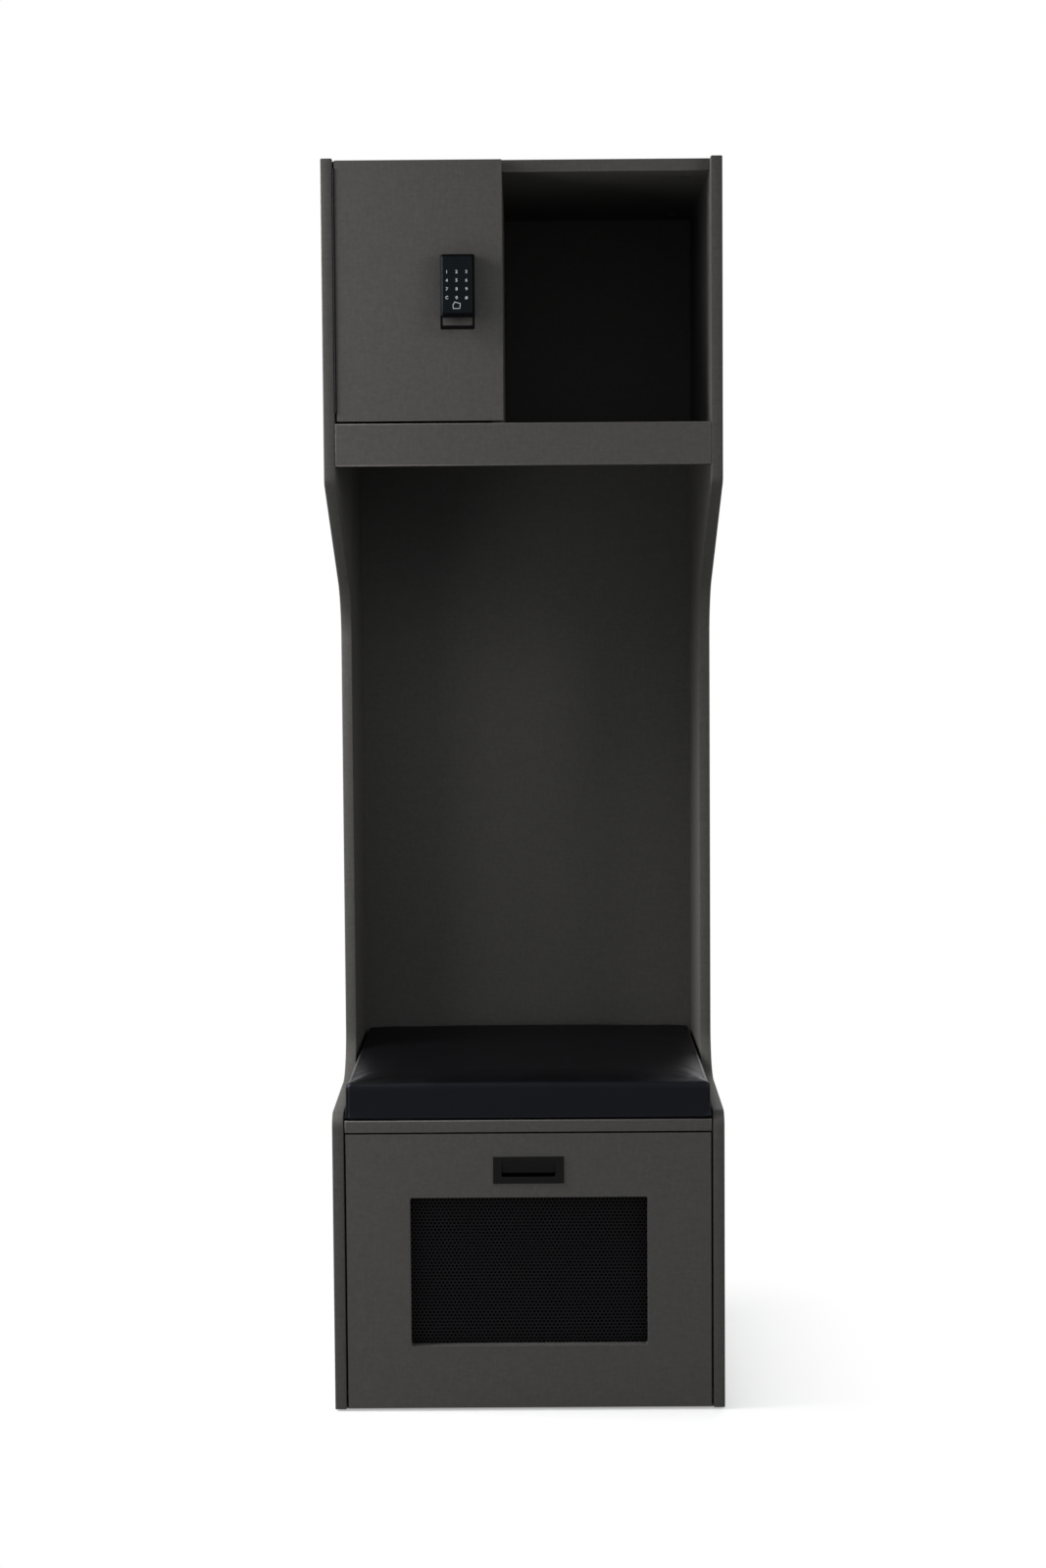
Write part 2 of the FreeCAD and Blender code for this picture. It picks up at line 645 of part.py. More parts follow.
def cushion():
    """Boxed seat cushion: a crowned top, rounded front and rear edges and sides drawn in at half height."""
    half = sheet.get("width") / 2 - sheet.get("board") - sheet.get("cushion_side_gap")
    front = sheet.get("lock_projection") / 2 - sheet.get("depth") / 2 + sheet.get("cushion_front_gap")
    back_panel = sheet.get("lock_projection") / 2 + sheet.get("depth") / 2 - sheet.get("back_recess")
    rear = back_panel - sheet.get("back_board") - sheet.get("cushion_rear_gap")
    foot = sheet.get("seat_height") + sheet.get("cushion_lift")
    tall = sheet.get("cushion_height")
    edge = sheet.get("cushion_edge")
    waist = sheet.get("cushion_waist")
    brim_crown = sheet.get("cushion_brim_crown")
    # Each section's distance in from its end, its drop and its crown: a quarter round, then the full crown
    steps = 4
    turns = [math.radians(90 * step / steps) for step in range(steps + 1)]
    run = [(edge * (1 - math.cos(turn)), edge * (1 - math.sin(turn)), brim_crown) for turn in turns]
    run.append((sheet.get("cushion_crown_run"), 0, sheet.get("cushion_crown")))
    stations = [(front + inset, drop, crown) for inset, drop, crown in run]
    stations += [(rear - inset, drop, crown) for inset, drop, crown in reversed(run)]
    sections = []
    for y, drop, crown in stations:
        brim = foot + tall - drop
        middle = (foot + brim) / 2
        low_left = FreeCAD.Vector(-half, y, foot)
        low_right = FreeCAD.Vector(half, y, foot)
        high_right = FreeCAD.Vector(half - waist, y, brim)
        high_left = FreeCAD.Vector(waist - half, y, brim)
        pinch_right = FreeCAD.Vector(half - waist, y, middle)
        pinch_left = FreeCAD.Vector(waist - half, y, middle)
        summit = FreeCAD.Vector(0, y, brim + crown)
        sections.append(Part.Wire([
            Part.LineSegment(low_left, low_right).toShape(),
            Part.Arc(low_right, pinch_right, high_right).toShape(),
            Part.Arc(high_right, summit, high_left).toShape(),
            Part.Arc(high_left, pinch_left, low_left).toShape(),
        ]))
    item = doc.addObject("Part::Feature", "Cushion")
    item.Shape = Part.makeLoft(sections, True, True)
    subpart("seat_cushion", item)


def hinge():
    """Continuous hinge in the gap left of the door: two leaves with alternate knuckles on one pin."""
    knuckles = int(sheet.get("hinge_knuckles"))
    screws = int(sheet.get("hinge_screws"))
    pitch = f"({HINGE_LENGTH} / {knuckles})"
    spacing = f"({HINGE_LENGTH} / {screws})"
    kind = ("hinge_screw_radius", "hinge_head_radius", "hinge_head_height")
    pin_hole = ("Z", HINGE_X, FRONT, HINGE_FOOT, "hinge_bore_radius", HINGE_LENGTH)
    leaves = (
        ("hinge_panel_leaf", f"-{INNER}", 0, -1, f"-{INNER} + hinge_leaf", "left_side_panel"),
        ("hinge_door_leaf", f"{DOOR_LEFT} - hinge_leaf", 1, 1, f"{DOOR_LEFT} - hinge_leaf", "door_panel"),
    )
    for label, leaf_x, first, sign, head_x, board in leaves:
        pieces = [block(leaf_x, f"{FRONT} + hinge_leaf_start", HINGE_FOOT, "hinge_leaf", "hinge_leaf_width",
                        HINGE_LENGTH)]
        for index in range(first, knuckles, 2):
            z = f"{HINGE_FOOT} + {index} * {pitch} + hinge_knuckle_gap / 2"
            tall = f"{pitch} - hinge_knuckle_gap"
            pieces.append(rod("Z", HINGE_X, FRONT, z, "hinge_barrel_radius", tall))
            pieces.append(block(leaf_x, FRONT, z, "hinge_leaf", "hinge_leaf_start", tall))
        fixings = []
        for index in range(screws):
            spot = (head_x, f"{FRONT} + hinge_leaf_start + hinge_screw_line",
                    f"{HINGE_FOOT} + ({index} + 1 / 2) * {spacing}")
            fixings.append(screw("X", sign, spot, "hinge_leaf + hinge_screw_length", kind))
            for target in (label, board):
                drill(target, bore("X", sign, spot, "hinge_leaf + hinge_screw_length", "hinge_screw_radius"))
        drill(label, rod(*pin_hole))
        drilled(label, joined(pieces))
        subpart(label.replace("leaf", "screws"), group(fixings))
    subpart("hinge_pin", rod("Z", HINGE_X, FRONT, HINGE_FOOT, "hinge_pin_radius", HINGE_LENGTH))


def lock_front():
    """Keypad housing with bevelled flanks, its touch panel, circuit board and pull loop."""
    body_depth = "(lock_projection - lock_panel)"
    outline = [
        ("lock_bevel", "0"),
        ("lock_width - lock_bevel", "0"),
        ("lock_width", "lock_bevel"),
        ("lock_width", body_depth),
        ("0", body_depth),
        ("0", "lock_bevel"),
    ]
    shell = place(prism("XY_Plane", outline, "lock_housing_height"), LOCK_LEFT, HOUSING_FRONT, HOUSING_FOOT)
    hollow = block(f"{LOCK_LEFT} + lock_wall", f"{HOUSING_FRONT} + lock_wall", f"{HOUSING_FOOT} + lock_wall",
                   "lock_width - 2 * lock_wall", f"{body_depth} - lock_wall",
                   "lock_housing_height - 2 * lock_wall")
    pieces = [without(shell, [hollow])]
    bolts = []
    length = "rear_case_depth + board + screw_bite"
    for z in (f"{HOUSING_FOOT} + lock_bolt_edge", f"{HOUSING_FOOT} + lock_housing_height - lock_bolt_edge"):
        pieces.append(rod("Y", LOCK_MIDDLE, f"{HOUSING_FRONT} + lock_wall", z, "lock_boss_radius",
                          f"{body_depth} - lock_wall"))
        spot = (LOCK_MIDDLE, CASE_REAR, z)
        bolts.append(screw("Y", -1, spot, length, ("lock_bolt_radius", "lock_bolt_head_radius",
                                                   "lock_bolt_head_height")))
        for label in ("lock_housing", "door_panel", "lock_rear_case"):
            drill(label, bore("Y", -1, spot, length, "lock_bolt_radius"))
    drilled("lock_housing", joined(pieces))
    subpart("lock_bolts", group(bolts))
    panel = block(f"{LOCK_LEFT} + lock_panel_margin", f"{FRONT} - lock_projection",
                  f"{HOUSING_FOOT} + lock_panel_margin", "lock_width - 2 * lock_panel_margin", "lock_panel",
                  "lock_housing_height - 2 * lock_panel_margin")
    subpart("lock_touch_panel", panel)
    clear = "(lock_bolt_edge + lock_boss_radius + circuit_margin)"
    circuit = block(f"{LOCK_LEFT} + lock_wall + circuit_margin", f"{HOUSING_FRONT} + lock_wall",
                    f"{HOUSING_FOOT} + {clear}", "lock_width - 2 * (lock_wall + circuit_margin)",
                    "circuit_thickness", f"lock_housing_height - 2 * {clear}")
    subpart("lock_circuit_board", circuit)
    frame = block(LOCK_LEFT, HOUSING_FRONT, LOCK_FOOT, "lock_width", "loop_depth", "loop_drop")
    window = block(f"{LOCK_LEFT} + loop_arm", HOUSING_FRONT, f"{LOCK_FOOT} + loop_bar",
                   "lock_width - 2 * loop_arm", "loop_depth", "loop_drop - loop_bar")
    subpart("lock_pull_loop", without(frame, [window]))
    drill("door_panel", rod("Y", LOCK_MIDDLE, FRONT, CASE_MIDDLE, "cable_hole_radius", "board"))


def lock_rear():
    """The case on the inside of the door: cells under a cover, the actuator and the sliding latch."""
    inside = "(rear_case_depth - rear_case_wall)"
    shell = block(CASE_LEFT, DOOR_BACK, CASE_FOOT, "rear_case_reach", "rear_case_depth", "rear_case_height")
    hollow = block(f"{CASE_LEFT} + rear_case_wall", DOOR_BACK, f"{CASE_FOOT} + rear_case_wall",
                   "rear_case_reach - 2 * rear_case_wall", inside, "rear_case_height - 2 * rear_case_wall")
    slot = block(f"{CASE_RIGHT} - rear_case_wall", f"{LATCH_FRONT} - latch_clearance",
                 f"{LATCH_FOOT} - latch_clearance", "rear_case_wall", "latch_width + 2 * latch_clearance",
                 "latch_height + 2 * latch_clearance")
    cover_left = f"({CASE_LEFT} + rear_case_wall)"
    cover_foot = f"({CASE_MIDDLE} - cover_height / 2)"
    hatch = block(f"{cover_left} + cover_lap", f"{CASE_REAR} - rear_case_wall", f"{cover_foot} + cover_lap",
                  "cover_width - 2 * cover_lap", "rear_case_wall", "cover_height - 2 * cover_lap")
    drilled("lock_rear_case", without(shell, [hollow, slot, hatch]))
    cover = block(cover_left, CASE_REAR, cover_foot, "cover_width", "cover_thickness", "cover_height")
    subpart("lock_battery_cover", cover)
    pitch = "(2 * cell_radius + cell_gap)"
    cells = []
    for column in (0, 1):
        for layer in (0, 1):
            x = f"{CASE_LEFT} + rear_case_wall + cell_gap + cell_radius + {column} * {pitch}"
            y = f"{DOOR_BACK} + cell_gap + cell_radius + {layer} * {pitch}"
            cells.append(rod("Z", x, y, f"{CASE_MIDDLE} - cell_length / 2", "cell_radius", "cell_length"))
    subpart("lock_batteries", group(cells))
    actuator = block(f"{LATCH_BACK} - actuator_gap - actuator_width", DOOR_BACK,
                     f"{LATCH_MIDDLE} - actuator_height / 2", "actuator_width", inside, "actuator_height")
    subpart("lock_actuator", actuator)
    latch = block(LATCH_BACK, LATCH_FRONT, LATCH_FOOT, "latch_length", "latch_width", "latch_height")
    subpart("latch_bolt", latch)


def strike():
    """Plate on the divider with the mortise that takes the latch."""
    middle = f"({LATCH_FRONT} + latch_width / 2)"
    plate_x = f"({DIVIDER_LEFT} - strike_thickness)"
    plate = block(plate_x, f"{middle} - strike_width / 2", f"{LATCH_MIDDLE} - strike_height / 2",
                  "strike_thickness", "strike_width", "strike_height")
    mortise = (plate_x, f"{LATCH_FRONT} - strike_clearance", f"{LATCH_FOOT} - strike_clearance",
               f"{LATCH_TIP} + latch_travel + mortise_spare - {plate_x}",
               "latch_width + 2 * strike_clearance", "latch_height + 2 * strike_clearance")
    fixings = []
    for sign in (-1, 1):
        spot = (plate_x, middle, f"{LATCH_MIDDLE} + {sign} * (strike_height / 2 - strike_screw_edge)")
        fixings.append(screw("X", 1, spot, "strike_thickness + screw_bite"))
        for label in ("strike_plate", "cabinet_divider"):
            drill(label, bore("X", 1, spot, "strike_thickness + screw_bite", "screw_radius"))
    for label in ("strike_plate", "cabinet_divider"):
        drill(label, block(*mortise))
    drilled("strike_plate", plate)
    subpart("strike_screws", group(fixings))


def door():
    """The lock-up door board, which covers the divider's front edge."""
    panel = block(DOOR_LEFT, FRONT, DOOR_FOOT, f"{DIVIDER_RIGHT} - {DOOR_LEFT}", "board",
                  f"{DOOR_TOP} - {DOOR_FOOT}")
    drilled("door_panel", panel)


def inward(sign, start, reach):
    """The low x of a strip that starts a distance in from a side panel and reaches further in."""
    return f"{INNER} - ({start}) - ({reach})" if sign > 0 else f"-{INNER} + ({start})"


def channel(sign, half, web, flange):
    """One slide member: a web and two flanges, each a start and a reach in from the side panel."""
    web_start, web_reach = web
    flange_start, flange_reach = flange
    pieces = [block(inward(sign, web_start, web_reach), SLIDE_FRONT, f"{SLIDE_MIDDLE} - {half}", web_reach,
                    SLIDE_LENGTH, f"2 * {half}")]
    for z in (f"{SLIDE_MIDDLE} - {half}", f"{SLIDE_MIDDLE} + {half} - slide_steel"):
        pieces.append(block(inward(sign, flange_start, flange_reach), SLIDE_FRONT, z, flange_reach,
                            SLIDE_LENGTH, "slide_steel"))
    return joined(pieces)


def slides():
    """Telescopic slides, each of three nested channels, and their screws."""
    step = "(slide_steel + slide_play)"
    outer = "(slide_height / 2)"
    middle = f"(slide_height / 2 - {step})"
    inner = f"(slide_height / 2 - 2 * {step})"
    cabinet_screws = []
    drawer_screws = []
    ends = (f"{SLIDE_FRONT} + slide_screw_edge", f"{SLIDE_FRONT} + {SLIDE_LENGTH} / 2",
            f"{SLIDE_FRONT} + {SLIDE_LENGTH} - slide_screw_edge")
    length = "slide_steel + screw_bite"
    for side, sign in SIDES.items():
        for y in ends:
            spot = (f"{sign} * ({INNER} - slide_steel)", y, SLIDE_MIDDLE)
            cabinet_screws.append(screw("X", sign, spot, length))
            for label in (f"{side}_slide_cabinet_member", f"{side}_side_panel"):
                drill(label, bore("X", sign, spot, length, "screw_radius"))
            spot = (f"{sign} * ({BOX_OUTER} + slide_steel)", y, SLIDE_MIDDLE)
            drawer_screws.append(screw("X", -sign, spot, length))
            for label in (f"{side}_slide_drawer_member", f"drawer_{side}_side"):
                drill(label, bore("X", -sign, spot, length, "screw_radius"))
        drilled(f"{side}_slide_cabinet_member",
                channel(sign, outer, ("0", "slide_steel"), ("0", "slide_cabinet_reach")))
        subpart(f"{side}_slide_middle_member",
                channel(sign, middle, ("slide_middle_web", "slide_steel"),
                        ("slide_middle_start", "slide_middle_reach")))
        drilled(f"{side}_slide_drawer_member",
                channel(sign, inner, ("slide_space - slide_steel", "slide_steel"),
                        ("slide_space - slide_drawer_reach", "slide_drawer_reach")))
    subpart("slide_cabinet_screws", group(cabinet_screws))
    subpart("slide_drawer_screws", group(drawer_screws))


def drawer_dowels():
    """Dowels that join the drawer's sides to its front and back."""
    pegs = []
    for side, sign in SIDES.items():
        label = f"drawer_{side}_side"
        for z in (f"{BOX_FOOT} + dowel_edge", f"{BOX_TOP} - dowel_edge"):
            spot = (f"{sign} * ({BOX_INNER} + drawer_board / 2)", BOX_FRONT, z)
            pegs.append(dowel("Y", spot, ("drawer_front", "dowel_short"), (label, "dowel_long")))
            spot = (f"{sign} * {BOX_INNER}", f"{BOX_REAR} - drawer_board / 2", z)
            boards = [("drawer_back", "dowel_long"), (label, "dowel_short")]
            low, high = boards if sign > 0 else reversed(boards)
            pegs.append(dowel("X", spot, low, high))
    subpart("drawer_dowels", group(pegs))


def drawer_box():
    """Sides, back and bottom of the drawer."""
    bottom_half = f"({BOX_INNER} + drawer_groove)"
    bottom = (f"-{bottom_half}", BOX_FRONT, f"{BOX_FOOT} + drawer_bottom_rise", f"2 * {bottom_half}",
              BOX_DEPTH, "drawer_bottom")
    for side, x in (("left", f"-{BOX_OUTER}"), ("right", BOX_INNER)):
        label = f"drawer_{side}_side"
        drill(label, block(*bottom))
        drilled(label, block(x, BOX_FRONT, BOX_FOOT, "drawer_board", BOX_DEPTH, f"{BOX_TOP} - {BOX_FOOT}"))
    subpart("drawer_bottom", block(*bottom))
    back = block(f"-{BOX_INNER}", f"{BOX_REAR} - drawer_board", BOTTOM_TOP, f"2 * {BOX_INNER}",
                 "drawer_board", f"{BOX_TOP} - {BOTTOM_TOP}")
    drilled("drawer_back", back)


def drawer_front():
    """The drawer's front board with the vent window and the cut-out of the flush pull."""
    corners = [("0", "0"), ("vent_width", "0"), ("vent_width", VENT_HEIGHT), ("0", VENT_HEIGHT)]
    radii = {index: "vent_corner" for index in range(len(corners))}
    window = prism("XZ_Plane", corners, "board", radii)
    drill("drawer_front", place(window, "-vent_width / 2", BOX_FRONT, VENT_FOOT))
    half = "(pull_pocket_width / 2 + pull_body_wall + pull_clearance)"
    rim = "(pull_body_wall + pull_clearance)"
    drill("drawer_front", block(f"-{half}", FRONT, f"{POCKET_FOOT} - pull_lip - {rim}",
                                f"2 * {half}", "board", f"pull_pocket_height + pull_lip + 2 * {rim}"))
    wide = f"({INNER} - drawer_side_gap)"
    front = block(f"-{wide}", FRONT, "drawer_floor_gap", f"2 * {wide}", "board",
                  f"{DRAWER_TOP} - drawer_floor_gap")
    drilled("drawer_front", front)


def flush_pull():
    """Recessed pull: a ramp sinks inward to a slot behind the lower lip of the face plate."""
    plate = block("-pull_width / 2", f"{FRONT} - pull_plate", f"{PULL_TOP} - pull_height", "pull_width",
                  "pull_plate", "pull_height")
    half = "(pull_pocket_width / 2 + pull_body_wall)"
    body = block(f"-{half}", FRONT, f"{POCKET_FOOT} - pull_lip - pull_body_wall", f"2 * {half}",
                 "pull_body_depth", "pull_pocket_height + pull_lip + 2 * pull_body_wall")
    deep = "(pull_plate + pull_body_depth - pull_body_wall)"
    outline = [
        ("0", "pull_lip"),
        ("0", "pull_lip + pull_pocket_height"),
        ("pull_plate + pull_step", "pull_lip + pull_pocket_height"),
        (deep, "pull_lip"),
        (deep, "0"),
        ("pull_plate", "0"),
        ("pull_plate", "pull_lip"),
    ]
    pocket = place(prism("YZ_Plane", outline, "pull_pocket_width"), "-pull_pocket_width / 2",
                   f"{FRONT} - pull_plate", f"{POCKET_FOOT} - pull_lip")
    subpart("flush_pull", without(joined([plate, body]), [pocket]))


def vent_mesh():
    """Perforated sheet behind the vent window: one holed face with staggered rows, and its screws."""
    lap = sheet.get("vent_lap")
    wide = sheet.get("vent_width")
    pitch = sheet.get("vent_hole_pitch")
    radius = sheet.get("vent_hole_radius")
    front = sheet.get("lock_projection") / 2 - sheet.get("depth") / 2 + sheet.get("board")
    foot = sheet.get("drawer_floor_gap") + sheet.get("vent_foot")
    drawer_top = sheet.get("seat_height") - sheet.get("board") - sheet.get("drawer_head_gap")
    tall = drawer_top - sheet.get("vent_head_gap") - foot
    row_pitch = pitch * 3 ** 0.5 / 2
    rows = int((tall - 2 * radius) / row_pitch) + 1
    columns = int((wide - 2 * radius - pitch / 2) / pitch) + 1
    blank = Part.makeBox(wide + 2 * lap, sheet.get("vent_sheet"), tall + 2 * lap,
                         FreeCAD.Vector(-wide / 2 - lap, front, foot - lap))
    punches = []
    for row in range(rows):
        z = foot + tall / 2 + (row - (rows - 1) / 2) * row_pitch
        shift = (row % 2 - 0.5) * pitch / 2
        for column in range(columns):
            x = (column - (columns - 1) / 2) * pitch + shift
            punches.append(Part.makeCylinder(radius, sheet.get("vent_sheet"), FreeCAD.Vector(x, front, z),
                                             FreeCAD.Vector(0, 1, 0)))
    item = doc.addObject("Part::Feature", "Mesh")
    item.Shape = blank.cut(Part.makeCompound(punches))
    fixings = []
    length = "vent_sheet + vent_screw_length"
    edge_x = "(vent_width / 2 + vent_lap / 2)"
    edge_z = f"({VENT_HEIGHT} / 2 + vent_lap / 2)"
    for across in (-1, 0, 1):
        for up in (-1, 0, 1):
            if across == 0 and up == 0:
                continue
            spot = (f"{across} * {edge_x}", f"{BOX_FRONT} + vent_sheet",
                    f"{VENT_FOOT} + {VENT_HEIGHT} / 2 + {up} * {edge_z}")
            fixings.append(screw("Y", -1, spot, length, ("vent_screw_radius", "screw_head_radius",
                                                         "screw_head_height")))
            for label in ("vent_mesh", "drawer_front"):
                drill(label, bore("Y", -1, spot, length, "vent_screw_radius"))
    drilled("vent_mesh", item)
    subpart("vent_screws", group(fixings))


# Fittings come first, because they note the holes of the boards
carcass_cams()
carcass_dowels()
carcass_screws()
floor_glides()
hinge()
lock_front()
lock_rear()
strike()
slides()
drawer_dowels()
vent_mesh()
side_panels()
cabinet_boards()
rear_boards()
seat_boards()
cushion()
door()
drawer_box()
drawer_front()
flush_pull()
doc.recompute()

faults = [item.Label for item in doc.Objects if {"Invalid", "Error"} & set(item.State)]
faults += [label for label, item in subparts.items() if item.Shape.isNull() or not item.Shape.isValid()]
if faults:
    raise RuntimeError("not built: " + ", ".join(faults))
os.makedirs("parts", exist_ok=True)
for label, item in subparts.items():
    item.Shape.exportStep(f"parts/{label}.step")
    print(f"{label}: {len(item.Shape.Solids)} solids, {item.Shape.Volume:.0f} mm3")
print(len(subparts), "sub-parts")
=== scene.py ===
"""Looks of the mudroom locker: eased boards, seat cushion, vent sheet, keypad lock and flush pull."""
import bmesh
import bpy
import json
import math
from mathutils import Matrix, Vector
from mathutils.bvhtree import BVHTree


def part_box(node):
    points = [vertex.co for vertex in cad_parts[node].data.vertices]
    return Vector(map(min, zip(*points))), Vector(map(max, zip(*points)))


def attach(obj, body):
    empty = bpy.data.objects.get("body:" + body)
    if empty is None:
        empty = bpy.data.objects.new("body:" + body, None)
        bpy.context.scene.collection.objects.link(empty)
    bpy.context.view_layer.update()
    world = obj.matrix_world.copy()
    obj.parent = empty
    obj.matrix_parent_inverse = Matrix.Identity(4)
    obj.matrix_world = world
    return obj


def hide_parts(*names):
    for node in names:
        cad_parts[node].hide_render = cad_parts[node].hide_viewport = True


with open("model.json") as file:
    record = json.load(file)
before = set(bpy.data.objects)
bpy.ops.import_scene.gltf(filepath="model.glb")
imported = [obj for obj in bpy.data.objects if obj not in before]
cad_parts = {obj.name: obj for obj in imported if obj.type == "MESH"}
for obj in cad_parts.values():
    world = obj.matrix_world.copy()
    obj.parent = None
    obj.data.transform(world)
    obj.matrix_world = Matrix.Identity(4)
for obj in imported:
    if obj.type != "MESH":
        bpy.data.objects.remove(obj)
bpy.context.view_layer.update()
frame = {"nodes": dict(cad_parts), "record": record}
scene = bpy.context.scene
MM = 0.001
X, Y, Z = range(3)
SIDES = {"left": -1, "right": 1}


# Finishes

def linear(code):
    """A colour written as sRGB hex, as the linear colour that a shader takes."""
    parts = [int(code[at:at + 2], 16) / 255 for at in (1, 3, 5)]
    return [p / 12.92 if p <= 0.04045 else ((p + 0.055) / 1.055) ** 2.4 for p in parts] + [1.0]


def per(size):
    """The scale of a pattern whose grains are that many millimetres apart."""
    return 1 / (size * MM)


def add(tree, kind, inputs=None, stops=(), **settings):
    """Add a node with its settings, its links and the stops of its colour ramp, each a place and a colour.

    An input is a value, the socket that feeds it, or a node whose first output feeds it.
    """
    node = tree.nodes.new(kind)
    for name, value in settings.items():
        setattr(node, name, value)
    for name, value in (inputs or {}).items():
        if isinstance(value, bpy.types.Node):
            value = value.outputs[0]
        if isinstance(value, bpy.types.NodeSocket):
            tree.links.new(value, node.inputs[name])
        else:
            node.inputs[name].default_value = value
    for index, (place, code) in enumerate(stops):
        rungs = node.color_ramp.elements
        rung = rungs[index] if index < len(rungs) else rungs.new(place)
        rung.position = place
        rung.color = linear(code)
    return node


def blank(name):
    """A new material with an empty tree, and the place on the piece that its patterns read."""
    material = bpy.data.materials.new(name)
    material.use_nodes = True
    tree = material.node_tree
    tree.nodes.clear()
    return material, tree, add(tree, "ShaderNodeTexCoord").outputs["Object"]


def melamine(name, dark, light, rough):
    """Melamine-faced board, pressed against a linen plate: even colour, faint crossed threads, no mirror.

    The pressed threads are about 0.5 mm apart; they are drawn at 2.2 mm so that they show.
    """
    material, tree, place = blank(name)
    threads = {"Scale": per(2.2), "Detail": 2.0}
    upright = add(tree, "ShaderNodeMapping", {"Vector": place, "Scale": (1.0, 1.0, 0.08)})
    level = add(tree, "ShaderNodeMapping", {"Vector": place, "Scale": (0.08, 0.08, 1.0)})
    warp = add(tree, "ShaderNodeTexNoise", {"Vector": upright, **threads})
    weft = add(tree, "ShaderNodeTexNoise", {"Vector": level, **threads})
    linen = add(tree, "ShaderNodeMath", {0: warp, 1: weft}, operation="ADD")
    mottle = add(tree, "ShaderNodeTexNoise", {"Vector": place, "Scale": per(6), "Detail": 3.0,
                                              "Roughness": 0.6})
    faint = add(tree, "ShaderNodeMath", {0: linen, 1: 0.25}, operation="MULTIPLY")
    tone = add(tree, "ShaderNodeMath", {0: mottle, 1: 0.5, 2: faint}, operation="MULTIPLY_ADD")
    colour = add(tree, "ShaderNodeValToRGB", {"Fac": tone}, [(0.36, dark), (0.64, light)])
    gloss = add(tree, "ShaderNodeMapRange", {"Value": mottle, "To Min": rough - 0.06, "To Max": rough + 0.06})
    relief = add(tree, "ShaderNodeBump", {"Height": linen, "Strength": 0.05, "Distance": 0.3 * MM})
    shader = add(tree, "ShaderNodeBsdfPrincipled", {"Base Color": colour, "Roughness": gloss,
                                                    "Normal": relief, "Specular IOR Level": 0.03})
    add(tree, "ShaderNodeOutputMaterial", {"Surface": shader})
    return material


def plywood():
    """Birch plywood, sawn and sanded: pale long grain with darker pores, dull."""
    material, tree, place = blank("birch plywood")
    along = add(tree, "ShaderNodeMapping", {"Vector": place, "Scale": (1.0, 0.06, 1.0)})
    grain = add(tree, "ShaderNodeTexNoise", {"Vector": along, "Scale": per(4), "Detail": 5.0,
                                             "Roughness": 0.7})
    colour = add(tree, "ShaderNodeValToRGB", {"Fac": grain},
                 [(0.3, "#8d6f4b"), (0.55, "#b0926a"), (0.75, "#c0a57f")])
    relief = add(tree, "ShaderNodeBump", {"Height": grain, "Strength": 0.15, "Distance": 0.3 * MM})
    shader = add(tree, "ShaderNodeBsdfPrincipled", {"Base Color": colour, "Roughness": 0.7,
                                                    "Normal": relief, "Specular IOR Level": 0.3})
    add(tree, "ShaderNodeOutputMaterial", {"Surface": shader})
    return material


def beech():
    """Turned beech: straight pale grain with short dark flecks."""
    material, tree, place = blank("beech")
    along = add(tree, "ShaderNodeMapping", {"Vector": place, "Scale": (0.15, 1.0, 1.0)})
    flecks = add(tree, "ShaderNodeTexNoise", {"Vector": along, "Scale": per(1.2), "Detail": 3.0})
    colour = add(tree, "ShaderNodeValToRGB", {"Fac": flecks}, [(0.35, "#a47c52"), (0.6, "#c49d72")])
    shader = add(tree, "ShaderNodeBsdfPrincipled", {"Base Color": colour, "Roughness": 0.62,
                                                    "Specular IOR Level": 0.3})
    add(tree, "ShaderNodeOutputMaterial", {"Surface": shader})
    return material


def vinyl():
    """Upholstery vinyl, embossed with a soft hide grain: near black, satin, bright where it meets the light.

    The grain is about 1 mm wide; it is drawn at 2.6 mm so that it shows.
    """
    material, tree, place = blank("upholstery vinyl")
    tone = add(tree, "ShaderNodeTexNoise", {"Vector": place, "Scale": per(60), "Detail": 3.0})
    colour = add(tree, "ShaderNodeValToRGB", {"Fac": tone}, [(0.3, "#010101"), (0.7, "#020203")])
    grain = add(tree, "ShaderNodeTexVoronoi", {"Vector": place, "Scale": per(2.6)}, feature="SMOOTH_F1")
    creases = add(tree, "ShaderNodeTexNoise", {"Vector": place, "Scale": per(14), "Detail": 3.0})
    gloss = add(tree, "ShaderNodeMapRange", {"Value": tone, "To Min": 0.36, "To Max": 0.44})
    fine = add(tree, "ShaderNodeBump", {"Height": grain, "Strength": 0.16, "Distance": 0.3 * MM})
    soft = add(tree, "ShaderNodeBump", {"Height": creases, "Strength": 0.12, "Distance": 0.8 * MM,
                                        "Normal": fine})
    shader = add(tree, "ShaderNodeBsdfPrincipled", {"Base Color": colour, "Roughness": gloss,
                                                    "Normal": soft, "Specular IOR Level": 0.14,
                                                    "Specular Tint": linear("#e2e7ff")})
    add(tree, "ShaderNodeOutputMaterial", {"Surface": shader})
    return material


def thread():
    """Polyester thread, twisted: black, dull, with a fine twist."""
    material, tree, place = blank("polyester thread")
    twist = add(tree, "ShaderNodeTexNoise", {"Vector": place, "Scale": per(0.5), "Detail": 1.0})
    colour = add(tree, "ShaderNodeValToRGB", {"Fac": twist}, [(0.3, "#08090a"), (0.7, "#101114")])
    shader = add(tree, "ShaderNodeBsdfPrincipled", {"Base Color": colour, "Roughness": 0.6,
                                                    "Specular IOR Level": 0.1})
    add(tree, "ShaderNodeOutputMaterial", {"Surface": shader})
    return material


